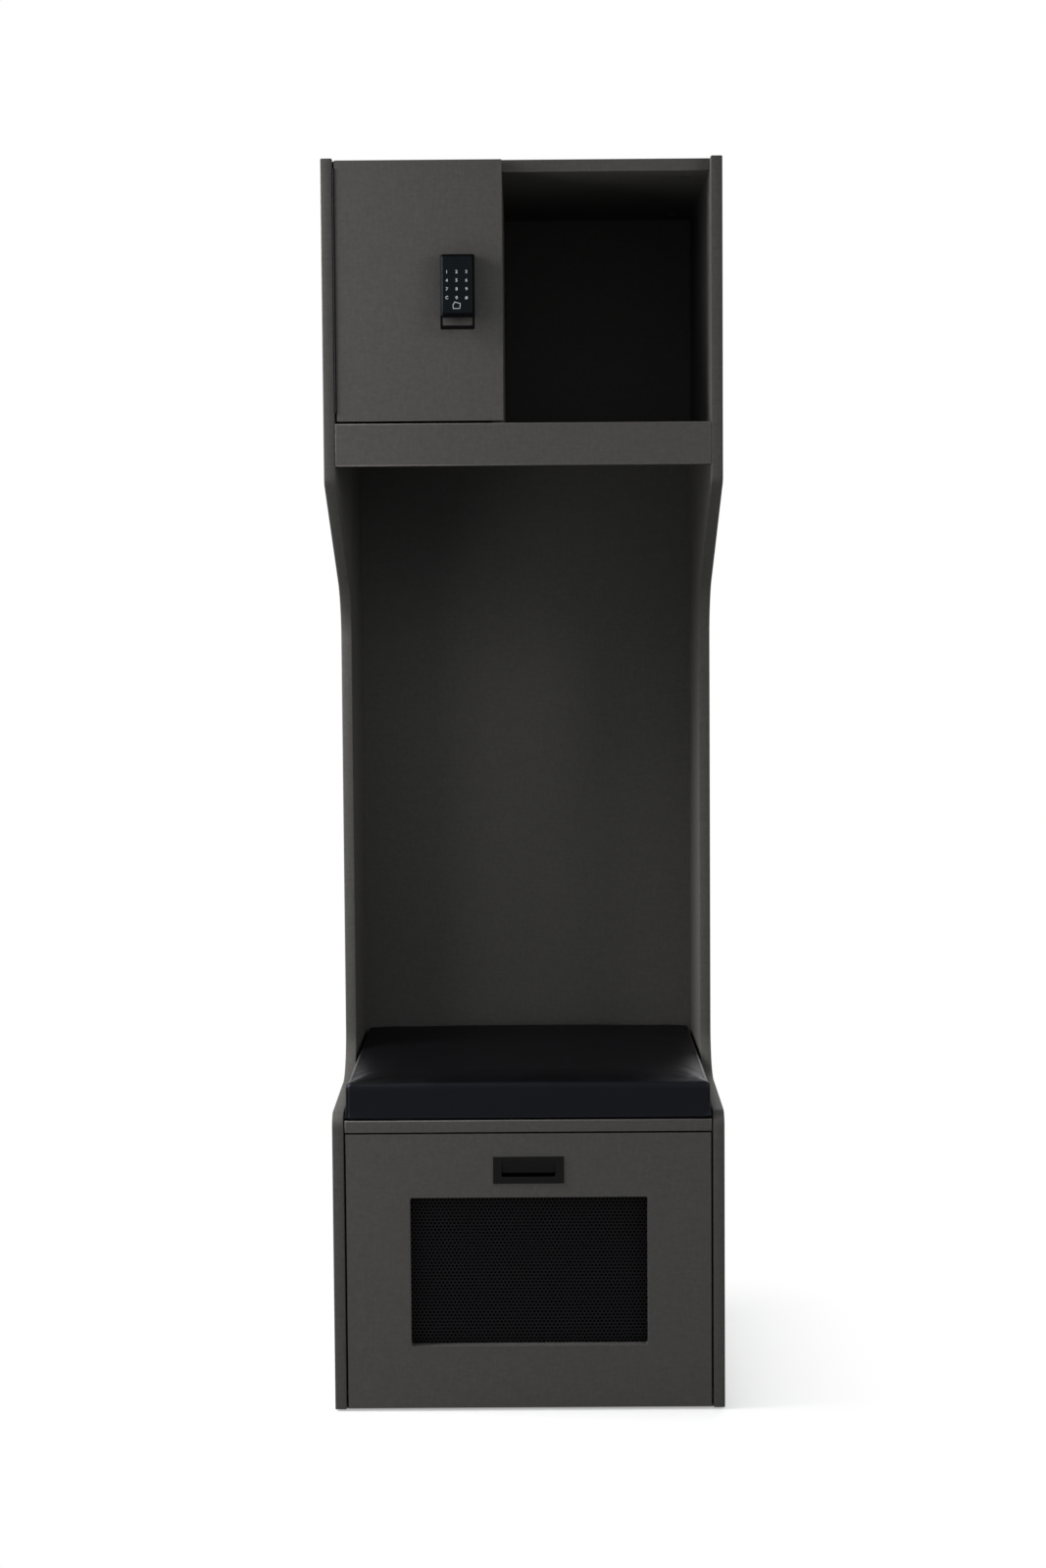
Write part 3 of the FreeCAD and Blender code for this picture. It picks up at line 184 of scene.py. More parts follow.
def zinc(name, dark, light):
    """Zinc-plated steel, rolled: a metal with faint streaks along the roll and a soft gloss."""
    material, tree, place = blank(name)
    along = add(tree, "ShaderNodeMapping", {"Vector": place, "Scale": (1.0, 0.05, 1.0)})
    streaks = add(tree, "ShaderNodeTexNoise", {"Vector": along, "Scale": per(2.5), "Detail": 3.0})
    colour = add(tree, "ShaderNodeValToRGB", {"Fac": streaks}, [(0.3, dark), (0.7, light)])
    gloss = add(tree, "ShaderNodeMapRange", {"Value": streaks, "To Min": 0.3, "To Max": 0.46})
    shader = add(tree, "ShaderNodeBsdfPrincipled", {"Base Color": colour, "Roughness": gloss,
                                                    "Metallic": 1.0})
    add(tree, "ShaderNodeOutputMaterial", {"Surface": shader})
    return material


def powder_coat():
    """Powder-coated steel, baked: black with a slight orange peel, about 1.5 mm across, and a satin gloss."""
    material, tree, place = blank("powder-coated steel")
    peel = add(tree, "ShaderNodeTexNoise", {"Vector": place, "Scale": per(1.5), "Detail": 2.0})
    colour = add(tree, "ShaderNodeValToRGB", {"Fac": peel}, [(0.3, "#141416"), (0.7, "#1d1d1f")])
    gloss = add(tree, "ShaderNodeMapRange", {"Value": peel, "To Min": 0.42, "To Max": 0.54})
    relief = add(tree, "ShaderNodeBump", {"Height": peel, "Strength": 0.12, "Distance": 0.15 * MM})
    shader = add(tree, "ShaderNodeBsdfPrincipled", {"Base Color": colour, "Roughness": gloss,
                                                    "Normal": relief, "Specular IOR Level": 0.04})
    add(tree, "ShaderNodeOutputMaterial", {"Surface": shader})
    return material


def moulded(name, dark, light, rough, shine=0.05):
    """ABS, moulded in a spark-eroded tool: even colour and a fine matt grain, drawn at 0.9 mm to show."""
    material, tree, place = blank(name)
    grain = add(tree, "ShaderNodeTexNoise", {"Vector": place, "Scale": per(0.9), "Detail": 3.0})
    colour = add(tree, "ShaderNodeValToRGB", {"Fac": grain}, [(0.3, dark), (0.7, light)])
    gloss = add(tree, "ShaderNodeMapRange", {"Value": grain, "To Min": rough - 0.06, "To Max": rough + 0.06})
    relief = add(tree, "ShaderNodeBump", {"Height": grain, "Strength": 0.1, "Distance": 0.1 * MM})
    shader = add(tree, "ShaderNodeBsdfPrincipled", {"Base Color": colour, "Roughness": gloss,
                                                    "Normal": relief, "Specular IOR Level": shine,
                                                    "IOR": 1.53})
    add(tree, "ShaderNodeOutputMaterial", {"Surface": shader})
    return material


def acrylic():
    """Cast acrylic, printed black behind: deep black with a clear gloss and a few soft smears."""
    material, tree, place = blank("black acrylic")
    smears = add(tree, "ShaderNodeTexNoise", {"Vector": place, "Scale": per(18), "Detail": 2.0,
                                              "Distortion": 0.6})
    colour = add(tree, "ShaderNodeValToRGB", {"Fac": smears}, [(0.3, "#06080a"), (0.7, "#0a0c0e")])
    gloss = add(tree, "ShaderNodeMapRange", {"Value": smears, "To Min": 0.1, "To Max": 0.2})
    shader = add(tree, "ShaderNodeBsdfPrincipled", {"Base Color": colour, "Roughness": gloss,
                                                    "Specular IOR Level": 0.11, "IOR": 1.49,
                                                    "Specular Tint": linear("#d4edff")})
    add(tree, "ShaderNodeOutputMaterial", {"Surface": shader})
    return material


def printed(name, dark, light):
    """Screen-printed ink: a thin even film with slight unevenness, matt."""
    material, tree, place = blank(name)
    film = add(tree, "ShaderNodeTexNoise", {"Vector": place, "Scale": per(1.0), "Detail": 2.0})
    colour = add(tree, "ShaderNodeValToRGB", {"Fac": film}, [(0.3, dark), (0.7, light)])
    shader = add(tree, "ShaderNodeBsdfPrincipled", {"Base Color": colour, "Roughness": 0.55,
                                                    "Specular IOR Level": 0.3})
    add(tree, "ShaderNodeOutputMaterial", {"Surface": shader})
    return material


FINISHES = {
    "charcoal_board": melamine("charcoal melamine board", "#4c4b49", "#545251", 0.5),
    "drawer_board": melamine("dark melamine board", "#3b3a39", "#434241", 0.52),
    "raw_board": plywood(),
    "black_vinyl": vinyl(),
    "beech": beech(),
    "zinc_steel": zinc("zinc-plated steel", "#9da0a3", "#b9bbbd"),
    "black_steel": powder_coat(),
    "black_plastic": moulded("black ABS", "#121212", "#171717", 0.46),
    "grey_plastic": moulded("grey ABS", "#4a4947", "#555351", 0.4),
    "gloss_black": acrylic(),
    "cell_sleeve": printed("printed cell sleeve", "#3c3e42", "#46494e"),
    "circuit_green": printed("solder mask", "#0c3a22", "#11492b"),
}
# Lighter melamine for the boards' rounded edges: a painted highlight
EDGE_HIGHLIGHT = melamine("melamine edge, painted highlight", "#5e5c59", "#696764", 0.45)
# Darker melamine for the side panels' edges: painted shade
SIDE_EDGE_SHADE = melamine("charcoal melamine edge, painted shade", "#474644", "#4f4e4c", 0.5)
# Near-black zinc for the slides and the hinge pin: painted shade in the gaps
GAP_SHADE_ZINC = zinc("zinc-plated steel, painted black as gap shade", "#1a1b1d", "#26272a")
# Near-black ABS for the pull's slot: painted shade
SLOT_SHADE_ABS = moulded("black ABS, painted shade in the slot", "#030303", "#050505", 0.8, 0.01)
LOCK_ABS = moulded("black ABS, satin", "#08080a", "#0c0c0e", 0.5, 0.015)
THREAD = thread()
INK = printed("white key print", "#c0c3c4", "#ced1d2")


def dress_solids():
    """Give each solid its slot's finish, and a near-black zinc plating to the slides and the hinge's pin.

    The near-black is painted shade, so that the gaps beside the door and the drawer, where the pin and the
    slides' ends show, look black.
    """
    for part in frame["record"]["subparts"]:
        node = part["node"]
        # The slides and the hinge pin take the near-black zinc: painted shade in the gaps
        plated = node == "hinge_pin" or node.endswith("_member")
        mesh = frame["nodes"][node].data
        mesh.materials.clear()
        mesh.materials.append(GAP_SHADE_ZINC if plated else FINISHES[part["material_slot"]])


# Shapes

def piece(name, bm, body, *nodes, slot=None, finishes=None):
    """A finished piece: its mesh and finishes, the body that carries it and the solids that it stands for."""
    mesh = bpy.data.meshes.new(name)
    bm.to_mesh(mesh)
    bm.free()
    for material in finishes or [FINISHES[slot]]:
        mesh.materials.append(material)
    made = bpy.data.objects.new(name, mesh)
    scene.collection.objects.link(made)
    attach(made, body)
    if nodes:
        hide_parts(*nodes)
    return made


def whole(bm):
    """All corners, edges and faces of a shape."""
    return bm.verts[:] + bm.edges[:] + bm.faces[:]


def corners_in(items):
    """The corners among the items that an operator made."""
    return [item for item in items if isinstance(item, bmesh.types.BMVert)]


def round_edges(bm, edges, radius, segments=3, finish_index=0):
    """Round a set of edges; the new faces are shaded smooth and may take a piece's second finish."""
    made = bmesh.ops.bevel(bm, geom=edges, offset=radius, offset_type="OFFSET", segments=segments,
                           profile=0.5, affect="EDGES", clamp_overlap=True, material=-1)
    for face in made["faces"]:
        face.smooth = True
        face.material_index = finish_index


def round_corners(bm, corners, reach, segments):
    """Round corners of a flat outline; each round starts at a reach from its corner."""
    bmesh.ops.bevel(bm, geom=corners, offset=reach, offset_type="OFFSET", segments=segments,
                    profile=0.5, affect="VERTICES", material=-1)


def thicken(bm, shift):
    """Draw flat faces out by a shift into a closed shape."""
    grown = bmesh.ops.extrude_face_region(bm, geom=bm.faces[:])
    bmesh.ops.translate(bm, verts=corners_in(grown["geom"]), vec=shift)
    bmesh.ops.recalc_face_normals(bm, faces=bm.faces)


def draw_out(bm, faces, shift):
    """Draw a set of faces out of a closed shape, or into it; gives the corners that moved."""
    grown = bmesh.ops.extrude_face_region(bm, geom=faces)
    bmesh.ops.delete(bm, geom=[face for face in faces if face.is_valid], context="FACES")
    moved = corners_in(grown["geom"])
    bmesh.ops.translate(bm, verts=moved, vec=shift)
    bm.normal_update()
    return moved


def repeat(bm, count, shift):
    """Repeat a whole shape; each copy moves by what shift gives for its number."""
    first = whole(bm)
    for number in range(1, count):
        copy = bmesh.ops.duplicate(bm, geom=first)["geom"]
        bmesh.ops.translate(bm, verts=corners_in(copy), vec=shift(number))


def box_shape(low, high):
    """A block between two corners."""
    bm = bmesh.new()
    bmesh.ops.create_cube(bm, size=1.0)
    bmesh.ops.scale(bm, verts=bm.verts, vec=high - low)
    bmesh.ops.translate(bm, verts=bm.verts, vec=(low + high) / 2)
    return bm


def on_plane(edge, axis, *places):
    """True for an edge that lies in one of the planes at these places along an axis."""
    slack = 0.02 * MM
    return any(all(abs(corner.co[axis] - place) < slack for corner in edge.verts) for place in places)


def is_sharp(edge):
    """True for an edge where two faces meet at an outer corner."""
    return len(edge.link_faces) == 2 and edge.is_convex and edge.calc_face_angle() > math.radians(50)


def panes(bm, facing, low, high):
    """The faces that face one way along y and lie inside a rectangle of x and z."""
    slack = 0.05 * MM
    return [face for face in bm.faces if face.normal.y * facing > 0.9 and all(
        low[0] - slack < corner.co.x < high[0] + slack and low[1] - slack < corner.co.z < high[1] + slack
        for corner in face.verts)]


# Boards

# An end of a solid's box is an axis, and 0 for its low or 1 for its high side
FRONT, REAR = (Y, 0), (Y, 1)
LEFT, RIGHT = (X, 0), (X, 1)
TOP = (Z, 1)


def eased(name, node, slot, body, planes, radius, edge_highlight=None):
    """A copy of a solid with the sharp edges in the named ends of its box rounded; the radius is in mm."""
    low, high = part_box(node)
    bm = bmesh.new()
    bm.from_mesh(frame["nodes"][node].data)
    bmesh.ops.remove_doubles(bm, verts=bm.verts, dist=0.005 * MM)
    bmesh.ops.dissolve_limit(bm, angle_limit=math.radians(0.5), verts=bm.verts, edges=bm.edges)
    ends = [(axis, (low, high)[end][axis]) for axis, end in planes]
    edges = [edge for edge in bm.edges if is_sharp(edge) and any(on_plane(edge, *end) for end in ends)]
    # The rounded edges may take the lighter melamine, a painted highlight
    round_edges(bm, edges, radius * MM, finish_index=1 if edge_highlight else 0)
    piece(name, bm, body, node, slot=slot, finishes=[FINISHES[slot], edge_highlight] if edge_highlight else None)


def eased_solids():
    """Boards and cases that keep their solid's form; a board's rounded edges take a lighter melamine, a
    painted highlight that draws a thin light line round its face.
    """
    eased("top_board", "top_panel", "charcoal_board", "carcass", [FRONT], 1.1, EDGE_HIGHLIGHT)
    eased("valance_board", "shelf_valance", "charcoal_board", "carcass", [FRONT], 1.3, EDGE_HIGHLIGHT)
    eased("seat_front_board", "seat_board", "charcoal_board", "carcass", [FRONT], 1.1, EDGE_HIGHLIGHT)
    eased("door_board", "door_panel", "charcoal_board", "door", [FRONT, REAR], 1.3, EDGE_HIGHLIGHT)
    eased("drawer_front_board", "drawer_front", "charcoal_board", "drawer", [FRONT, REAR], 1.3, EDGE_HIGHLIGHT)
    for side in SIDES:
        eased(f"drawer_{side}_board", f"drawer_{side}_side", "drawer_board", "drawer", [TOP], 1.0)
    eased("drawer_rear_board", "drawer_back", "drawer_board", "drawer", [TOP], 1.0)
    eased("lock_cell_case", "lock_rear_case", "black_plastic", "door", [REAR, LEFT, RIGHT], 1.2)
    eased("lock_cell_cover", "lock_battery_cover", "black_plastic", "door", [REAR], 0.5)


def side_board(side):
    """A side panel: the waisted outline with rounded corners, as one board with soft edges that are painted
    darker as shade.
    """
    low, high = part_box(f"{side}_side_panel")
    front, rear, foot, top = low.y, high.y, low.z, high.z
    softness = 1.8 * MM
    square = [(front, foot), (rear, foot), (rear, top), (front, top)]
    # From the slope down to the arm, in millimetres: height, distance behind the front edge, corner radius
    waist = [(1444, 0, 14), (1266, 314, 100), (480, 314, 75), (471, 0, 24)]
    bm = bmesh.new()
    outline = [bm.verts.new((low.x, y, z)) for y, z in square]
    outline += [bm.verts.new((low.x, front + back * MM, height * MM)) for height, back, _ in waist]
    bm.faces.new(outline)
    # The reaches are worked out before the first corner is cut
    reaches = []
    for index, (_, _, radius) in enumerate(waist, len(square)):
        here = outline[index].co
        before = (outline[index - 1].co - here).normalized()
        after = (outline[(index + 1) % len(outline)].co - here).normalized()
        reaches.append(radius * MM / math.tan(before.angle(after) / 2))
    for corner, reach in zip(outline[len(square):], reaches):
        round_corners(bm, [corner], reach, segments=12)
    thicken(bm, (high.x - low.x, 0, 0))
    # The side panel's edge faces and rounded rims take the darker melamine: painted shade
    for face in bm.faces:
        face.smooth = abs(face.normal.x) < 0.5
        face.material_index = int(face.smooth)
    rim = [edge for edge in bm.edges if on_plane(edge, X, low.x, high.x)]
    round_edges(bm, rim, softness, finish_index=1)
    made = piece(f"{side}_board", bm, "carcass", f"{side}_side_panel", slot="charcoal_board",
                 finishes=[FINISHES["charcoal_board"], SIDE_EDGE_SHADE])
    made.data.set_sharp_from_angle(angle=math.radians(32))


# Drawer fittings

def vent_sheet():
    """Perforated sheet: round holes in staggered rows, with a plain border under the board."""
    low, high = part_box("vent_mesh")
    half, middle = (high - low) / 2, (low + high) / 2
    pitch, hole_radius = 6.05 * MM, 2.0 * MM
    columns, rows = 61, 45
    row_step = pitch * math.sqrt(3) / 2
    # One cell is a hexagon round a hole, whose edges are marked as seams
    bm = bmesh.new()
    bmesh.ops.create_circle(bm, segments=6, radius=pitch / math.sqrt(3))
    bmesh.ops.subdivide_edges(bm, edges=bm.edges[:], cuts=1)
    punched = set(bmesh.ops.create_circle(bm, segments=12, radius=hole_radius)["verts"])
    bmesh.ops.bridge_loops(bm, edges=bm.edges[:])
    for edge in bm.edges:
        edge.seam = all(corner in punched for corner in edge.verts)
    repeat(bm, columns, lambda number: (number * pitch, 0, 0))
    repeat(bm, rows, lambda number: (number % 2 * pitch / 2, number * row_step, 0))
    bmesh.ops.remove_doubles(bm, verts=bm.verts, dist=0.05 * MM)
    centre = ((columns - 0.5) * pitch / 2, (rows - 1) * row_step / 2, 0)
    bmesh.ops.translate(bm, verts=bm.verts, vec=-Vector(centre))
    # The border joins the outer edges of the cells to the sheet's own rectangle
    edges = [edge for edge in bm.edges if edge.is_boundary and not edge.seam]
    border = [bm.verts.new((x * half.x, y * half.z, 0)) for x, y in ((-1, -1), (1, -1), (1, 1), (-1, 1))]
    edges += [bm.edges.new((border[index - 1], border[index])) for index in range(len(border))]
    bmesh.ops.triangle_fill(bm, use_beauty=True, use_dissolve=False, edges=edges)
    thicken(bm, (0, 0, high.y - low.y))
    bmesh.ops.rotate(bm, verts=bm.verts, cent=(0, 0, 0), matrix=Matrix.Rotation(math.radians(90), 3, "X"))
    bmesh.ops.translate(bm, verts=bm.verts, vec=(middle.x, high.y, middle.z))
    piece("vent_sheet", bm, "drawer", "vent_mesh", slot="black_steel")


def pull():
    """Flush pull: face plate with a pocket, whose floor leans in to a deep slot behind the lower lip, painted
    dark as shade.
    """
    low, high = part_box("flush_pull")
    plate_back = low.y + 1.5 * MM
    half, foot, brim, head = 42 * MM, low.z + 10.4 * MM, low.z + 16 * MM, low.z + 35 * MM
    pocket_depth, lean, slot_depth = 5 * MM, 4.2 * MM, 8 * MM
    corner_radius, softness, slack = 2.4 * MM, 0.4 * MM, 0.1 * MM
    body_half, body_foot, body_head = 43.5 * MM, low.z + 4.5 * MM, low.z + 37 * MM
    pocket = (-half, foot), (half, head)
    slot = (-half, foot), (half, brim)
    body = (-body_half, body_foot), (body_half, body_head)
    # The rectangles of the body behind the plate and of the pocket in its face are drawn, then pushed back
    bm = box_shape(low, Vector((high.x, plate_back, high.z)))
    for facing, (_, bottom), (side, top) in ((1, *body), (-1, *pocket)):
        face = next(face for face in bm.faces if face.normal.y * facing > 0.9)
        bmesh.ops.inset_individual(bm, faces=[face], thickness=MM)
        for corner in face.verts:
            corner.co.x = math.copysign(side, corner.co.x)
            corner.co.z = top if corner.co.z > (bottom + top) / 2 else bottom
    bm.normal_update()
    draw_out(bm, panes(bm, 1, *body), (0, high.y - plate_back, 0))
    mouth = panes(bm, -1, *pocket)[0]
    bmesh.ops.bisect_plane(bm, geom=[mouth, *mouth.edges, *mouth.verts], dist=0.01 * MM,
                           plane_co=(0, 0, brim), plane_no=(0, 0, 1))
    for corner in draw_out(bm, panes(bm, -1, *pocket), (0, pocket_depth, 0)):
        if corner.co.z > head - slack:
            corner.co.y -= lean
    bm.normal_update()
    draw_out(bm, panes(bm, -1, *slot), (0, slot_depth, 0))
    bmesh.ops.recalc_face_normals(bm, faces=bm.faces)
    ends = [edge for edge in bm.edges if on_plane(edge, Z, foot) and on_plane(edge, X, half, -half)]
    bmesh.ops.bevel(bm, geom=ends, offset=corner_radius, offset_type="OFFSET", segments=5, profile=0.5,
                    affect="EDGES", clamp_overlap=False, material=-1)
    # The slot's own faces take a near-black finish: painted shade in the slot
    for face in bm.faces:
        middle = face.calc_center_median()
        deep = low.y + 0.5 * MM < middle.y < low.y + pocket_depth + slot_depth + MM
        if deep and abs(middle.x) < half + slack and foot - slack < middle.z < brim + slack:
            face.material_index = 1
    rim = [edge for edge in bm.edges if is_sharp(edge) and on_plane(edge, Y, low.y)]
    round_edges(bm, rim, softness, segments=2)
    piece("pull_plate", bm, "drawer", "flush_pull", slot="black_plastic",
          finishes=[FINISHES["black_plastic"], SLOT_SHADE_ABS])


# Keypad lock

def lock_body():
    """Housing of the lock: a block with chamfered flanks and soft edges."""
    low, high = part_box("lock_housing")
    chamfer, softness = 3.5 * MM, 0.5 * MM
    bm = box_shape(low, high)
    flanks = [edge for edge in bm.edges if on_plane(edge, Y, low.y) and on_plane(edge, X, low.x, high.x)]
    bmesh.ops.bevel(bm, geom=flanks, offset=chamfer, offset_type="OFFSET", segments=1, profile=0.5,
                    affect="EDGES", material=-1)
    round_edges(bm, [edge for edge in bm.edges if not on_plane(edge, Y, high.y)], softness, segments=2)
    piece("lock_body", bm, "door", "lock_housing", slot="black_plastic", finishes=[LOCK_ABS])


def lock_touch_face():
    """Touch face of the lock: a thin plate with round corners and a soft rim."""
    low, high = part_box("lock_touch_panel")
    corner_radius, softness = 2.5 * MM, 0.5 * MM
    bm = box_shape(low, high)
    through = [edge for edge in bm.edges if not on_plane(edge, Y, low.y, high.y)]
    round_edges(bm, through, corner_radius, segments=6)
    round_edges(bm, [edge for edge in bm.edges if on_plane(edge, Y, low.y)], softness, segments=2)
    piece("lock_touch_face", bm, "door", "lock_touch_panel", slot="gloss_black")


def lock_loop():
    """Pull loop of the lock: a bar on two arms, with round corners and soft edges."""
    low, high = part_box("lock_pull_loop")
    arm, bar, bend, softness = 3.6 * MM, 5.3 * MM, 2 * MM, 0.9 * MM
    outer = [(low.x, high.z), (low.x, low.z), (high.x, low.z), (high.x, high.z)]
    left, right, brim = low.x + arm, high.x - arm, low.z + bar
    inner = [(right, high.z), (right, brim), (left, brim), (left, high.z)]
    bm = bmesh.new()
    outline = [bm.verts.new((x, low.y, z)) for x, z in outer + inner]
    bm.faces.new(outline)
    round_corners(bm, outline[1:3] + outline[5:7], bend, segments=5)
    thicken(bm, (0, high.y - low.y, 0))
    round_edges(bm, [edge for edge in bm.edges if on_plane(edge, Y, low.y, high.y)], softness)
    piece("lock_loop", bm, "door", "lock_pull_loop", slot="black_plastic", finishes=[LOCK_ABS])


def key_print():
    """Printed keys of the touch face: digits, clear and hash keys, and a card sign."""
    low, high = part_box("lock_touch_panel")
    film, card_line = 0.06 * MM, 0.9 * MM
    key_size, key_weight, column_step = 6.5 * MM, 0.12 * MM, 14.8 * MM
    print_left, card_left, card_down = 0.8 * MM, 0.4 * MM, 73.7 * MM
    middle = (low.x + high.x) / 2 - print_left
    columns = [middle + at * column_step for at in (-1, 0, 1)]
    rows = [high.z - down * MM for down in (23.2, 36, 48.9, 61.9)]
    upright = Matrix.Rotation(math.radians(90), 4, "X")
    bm = bmesh.new()
    for sign, place in zip("123456789C0#", [(x, 0, z) for z in rows for x in columns]):
        curve = bpy.data.curves.new("key", "FONT")
        curve.body = sign
        curve.align_x = "CENTER"
        curve.align_y = "CENTER"
        curve.size = key_size
        curve.offset = key_weight
        curve.resolution_u = 6
        text = bpy.data.objects.new("key", curve)
        scene.collection.objects.link(text)
        bpy.context.view_layer.update()
        mesh = bpy.data.meshes.new_from_object(text)
        mesh.transform(Matrix.Translation(place) @ upright)
        bm.from_mesh(mesh)
        bpy.data.objects.remove(text)
        bpy.data.curves.remove(curve)
        bpy.data.meshes.remove(mesh)
    bmesh.ops.remove_doubles(bm, verts=bm.verts, dist=0.01 * MM)
    # Card sign: the outline of a card with one corner up, in millimetres from its middle
    x, z = middle - card_left, high.z - card_down
    card = [(-5.3, -4.8), (5.3, -4.8), (6.4, 3.2), (-2.6, 6.0), (-5.8, 1.0)]
    sheet = bm.faces.new([bm.verts.new((x + dx * MM, 0, z + dz * MM)) for dx, dz in card])
    sheet.normal_update()
    bmesh.ops.inset_region(bm, faces=[sheet], thickness=card_line, use_boundary=True, use_even_offset=True)
    bmesh.ops.delete(bm, geom=[sheet], context="FACES")
    # The film lies half in the touch face and half on it
    thicken(bm, (0, -2 * film, 0))
    for face in bm.faces:
        face.smooth = False
    bmesh.ops.translate(bm, verts=bm.verts, vec=(0, low.y + film, 0))
    piece("key_print", bm, "door", finishes=[INK])


# Seat cushion

def as_shown(thing):
    """A copy of an object's mesh with its modifiers applied."""
    return bpy.data.meshes.new_from_object(thing.evaluated_get(bpy.context.evaluated_depsgraph_get()))


def foam_block(low, high):
    """The cushion's solid, shrunk a little on its base and meshed evenly, as an object to be blown up."""
    shrink, grain = (0.99, 0.99, 0.98), 6 * MM
    base = Vector(((low.x + high.x) / 2, (low.y + high.y) / 2, low.z))
    bm = bmesh.new()
    bm.from_mesh(frame["nodes"]["seat_cushion"].data)
    bmesh.ops.remove_doubles(bm, verts=bm.verts, dist=0.01 * MM)
    bmesh.ops.translate(bm, verts=bm.verts, vec=-base)
    bmesh.ops.scale(bm, verts=bm.verts, vec=shrink)
    bmesh.ops.translate(bm, verts=bm.verts, vec=base)
    mesh = bpy.data.meshes.new("foam_block")
    bm.to_mesh(mesh)
    bm.free()
    foam = bpy.data.objects.new("foam_block", mesh)
    scene.collection.objects.link(foam)
    bpy.context.view_layer.objects.active = foam
    foam.select_set(True)
    mesh.remesh_voxel_size = grain
    bpy.ops.object.voxel_remesh()
    return foam


def swell(foam, foot):
    """Blow a foam block up by cloth simulation, held flat at its foot, no further than a limit."""
    frames, limit, held_height = 20, 3.5 * MM, 2 * MM
    mesh = foam.data
    held = foam.vertex_groups.new(name="flat")
    held.add([v.index for v in mesh.vertices if v.co.z < foot + held_height], 1.0, "REPLACE")
    cloth = foam.modifiers.new("foam", "CLOTH")
    cloth.settings.quality = 5
    cloth.settings.use_pressure = True
    cloth.settings.uniform_pressure_force = 4.0
    cloth.settings.effector_weights.gravity = 0.0
    cloth.settings.vertex_group_mass = held.name
    for number in range(1, frames + 1):
        scene.frame_set(number)
    swollen = as_shown(foam)
    foam.modifiers.remove(cloth)
    for vertex, moved in zip(mesh.vertices, swollen.vertices):
        step = moved.co - vertex.co
        vertex.co += step * min(1.0, limit / max(step.length, 1e-9))
    bpy.data.meshes.remove(swollen)
    scene.frame_set(1)


def fill_room(bm, room):
    """Stretch a shape to fill a room, given by its two ends along each axis."""
    for axis, (first, last) in enumerate(room):
        least = min(vertex.co[axis] for vertex in bm.verts)
        most = max(vertex.co[axis] for vertex in bm.verts)
        for vertex in bm.verts:
            vertex.co[axis] = first + (vertex.co[axis] - least) * (last - first) / (most - least)


def roll_rim(bm, room):
    """Roll the cover's lower rim in, which leaves a shadow line on the seat."""
    rim, lift = 9 * MM, 2.4 * MM
    for vertex in bm.verts:
        inward = min(min(vertex.co[axis] - room[axis][0], room[axis][1] - vertex.co[axis]) for axis in (X, Y))
        upward = vertex.co.z - room[Z][0]
        vertex.co.z += lift * max(0, 1 - inward / rim) * max(0, 1 - upward / rim)


def draw_seams(bm, seam, foot):
    """Draw the cover in along a seam near each side, above its foot, with rows of faces to follow the dip."""
    roll, depth = 4.5 * MM, 1.7 * MM
    for sign in SIDES.values():
        for offset in (-3, -1.2, 0, 1.2, 3):
            bmesh.ops.bisect_plane(bm, geom=whole(bm), dist=0.1 * MM,
                                   plane_co=(sign * (seam + offset * MM), 0, 0), plane_no=(1, 0, 0))
    bm.normal_update()
    for vertex in bm.verts:
        away = abs(abs(vertex.co.x) - seam) / roll
        if away < 1 and vertex.co.z > foot:
            vertex.co -= vertex.normal * depth * (1 - away) ** 2


def stitches(pad, at, low, high):
    """Top stitching beside a side seam: short threads laid on the cover along the front and the top."""
    spacing, lift, clear = 4 * MM, 0.1 * MM, 100 * MM
    size = Matrix.Diagonal((1.5 * MM, 0.45 * MM, 0.4 * MM, 1))
    back, up = Vector((0, 1, 0)), Vector((0, 0, 1))
    # Stitches are numbered from the cushion's lower front edge, and each is dropped onto the cover
    front_numbers, top_numbers = range(2, 11), range(5, 138)
    front = [(Vector((at, low.y - clear, low.z + number * spacing)), back, up) for number in front_numbers]
    top = [(Vector((at, low.y + number * spacing, high.z + clear)), -up, back) for number in top_numbers]
    cover = BVHTree.FromBMesh(pad)
    bm = bmesh.new()
    for start, aim, along in front + top:
        place, normal, _, _ = cover.ray_cast(start, aim)
        along = (along - normal * along.dot(normal)).normalized()
        turn = Matrix((along, normal.cross(along), normal)).transposed().to_4x4()
        bmesh.ops.create_uvsphere(bm, u_segments=6, v_segments=4, radius=1.0,
                                  matrix=Matrix.Translation(place + normal * lift) @ turn @ size)
    for face in bm.faces:
        face.smooth = True
    return bm


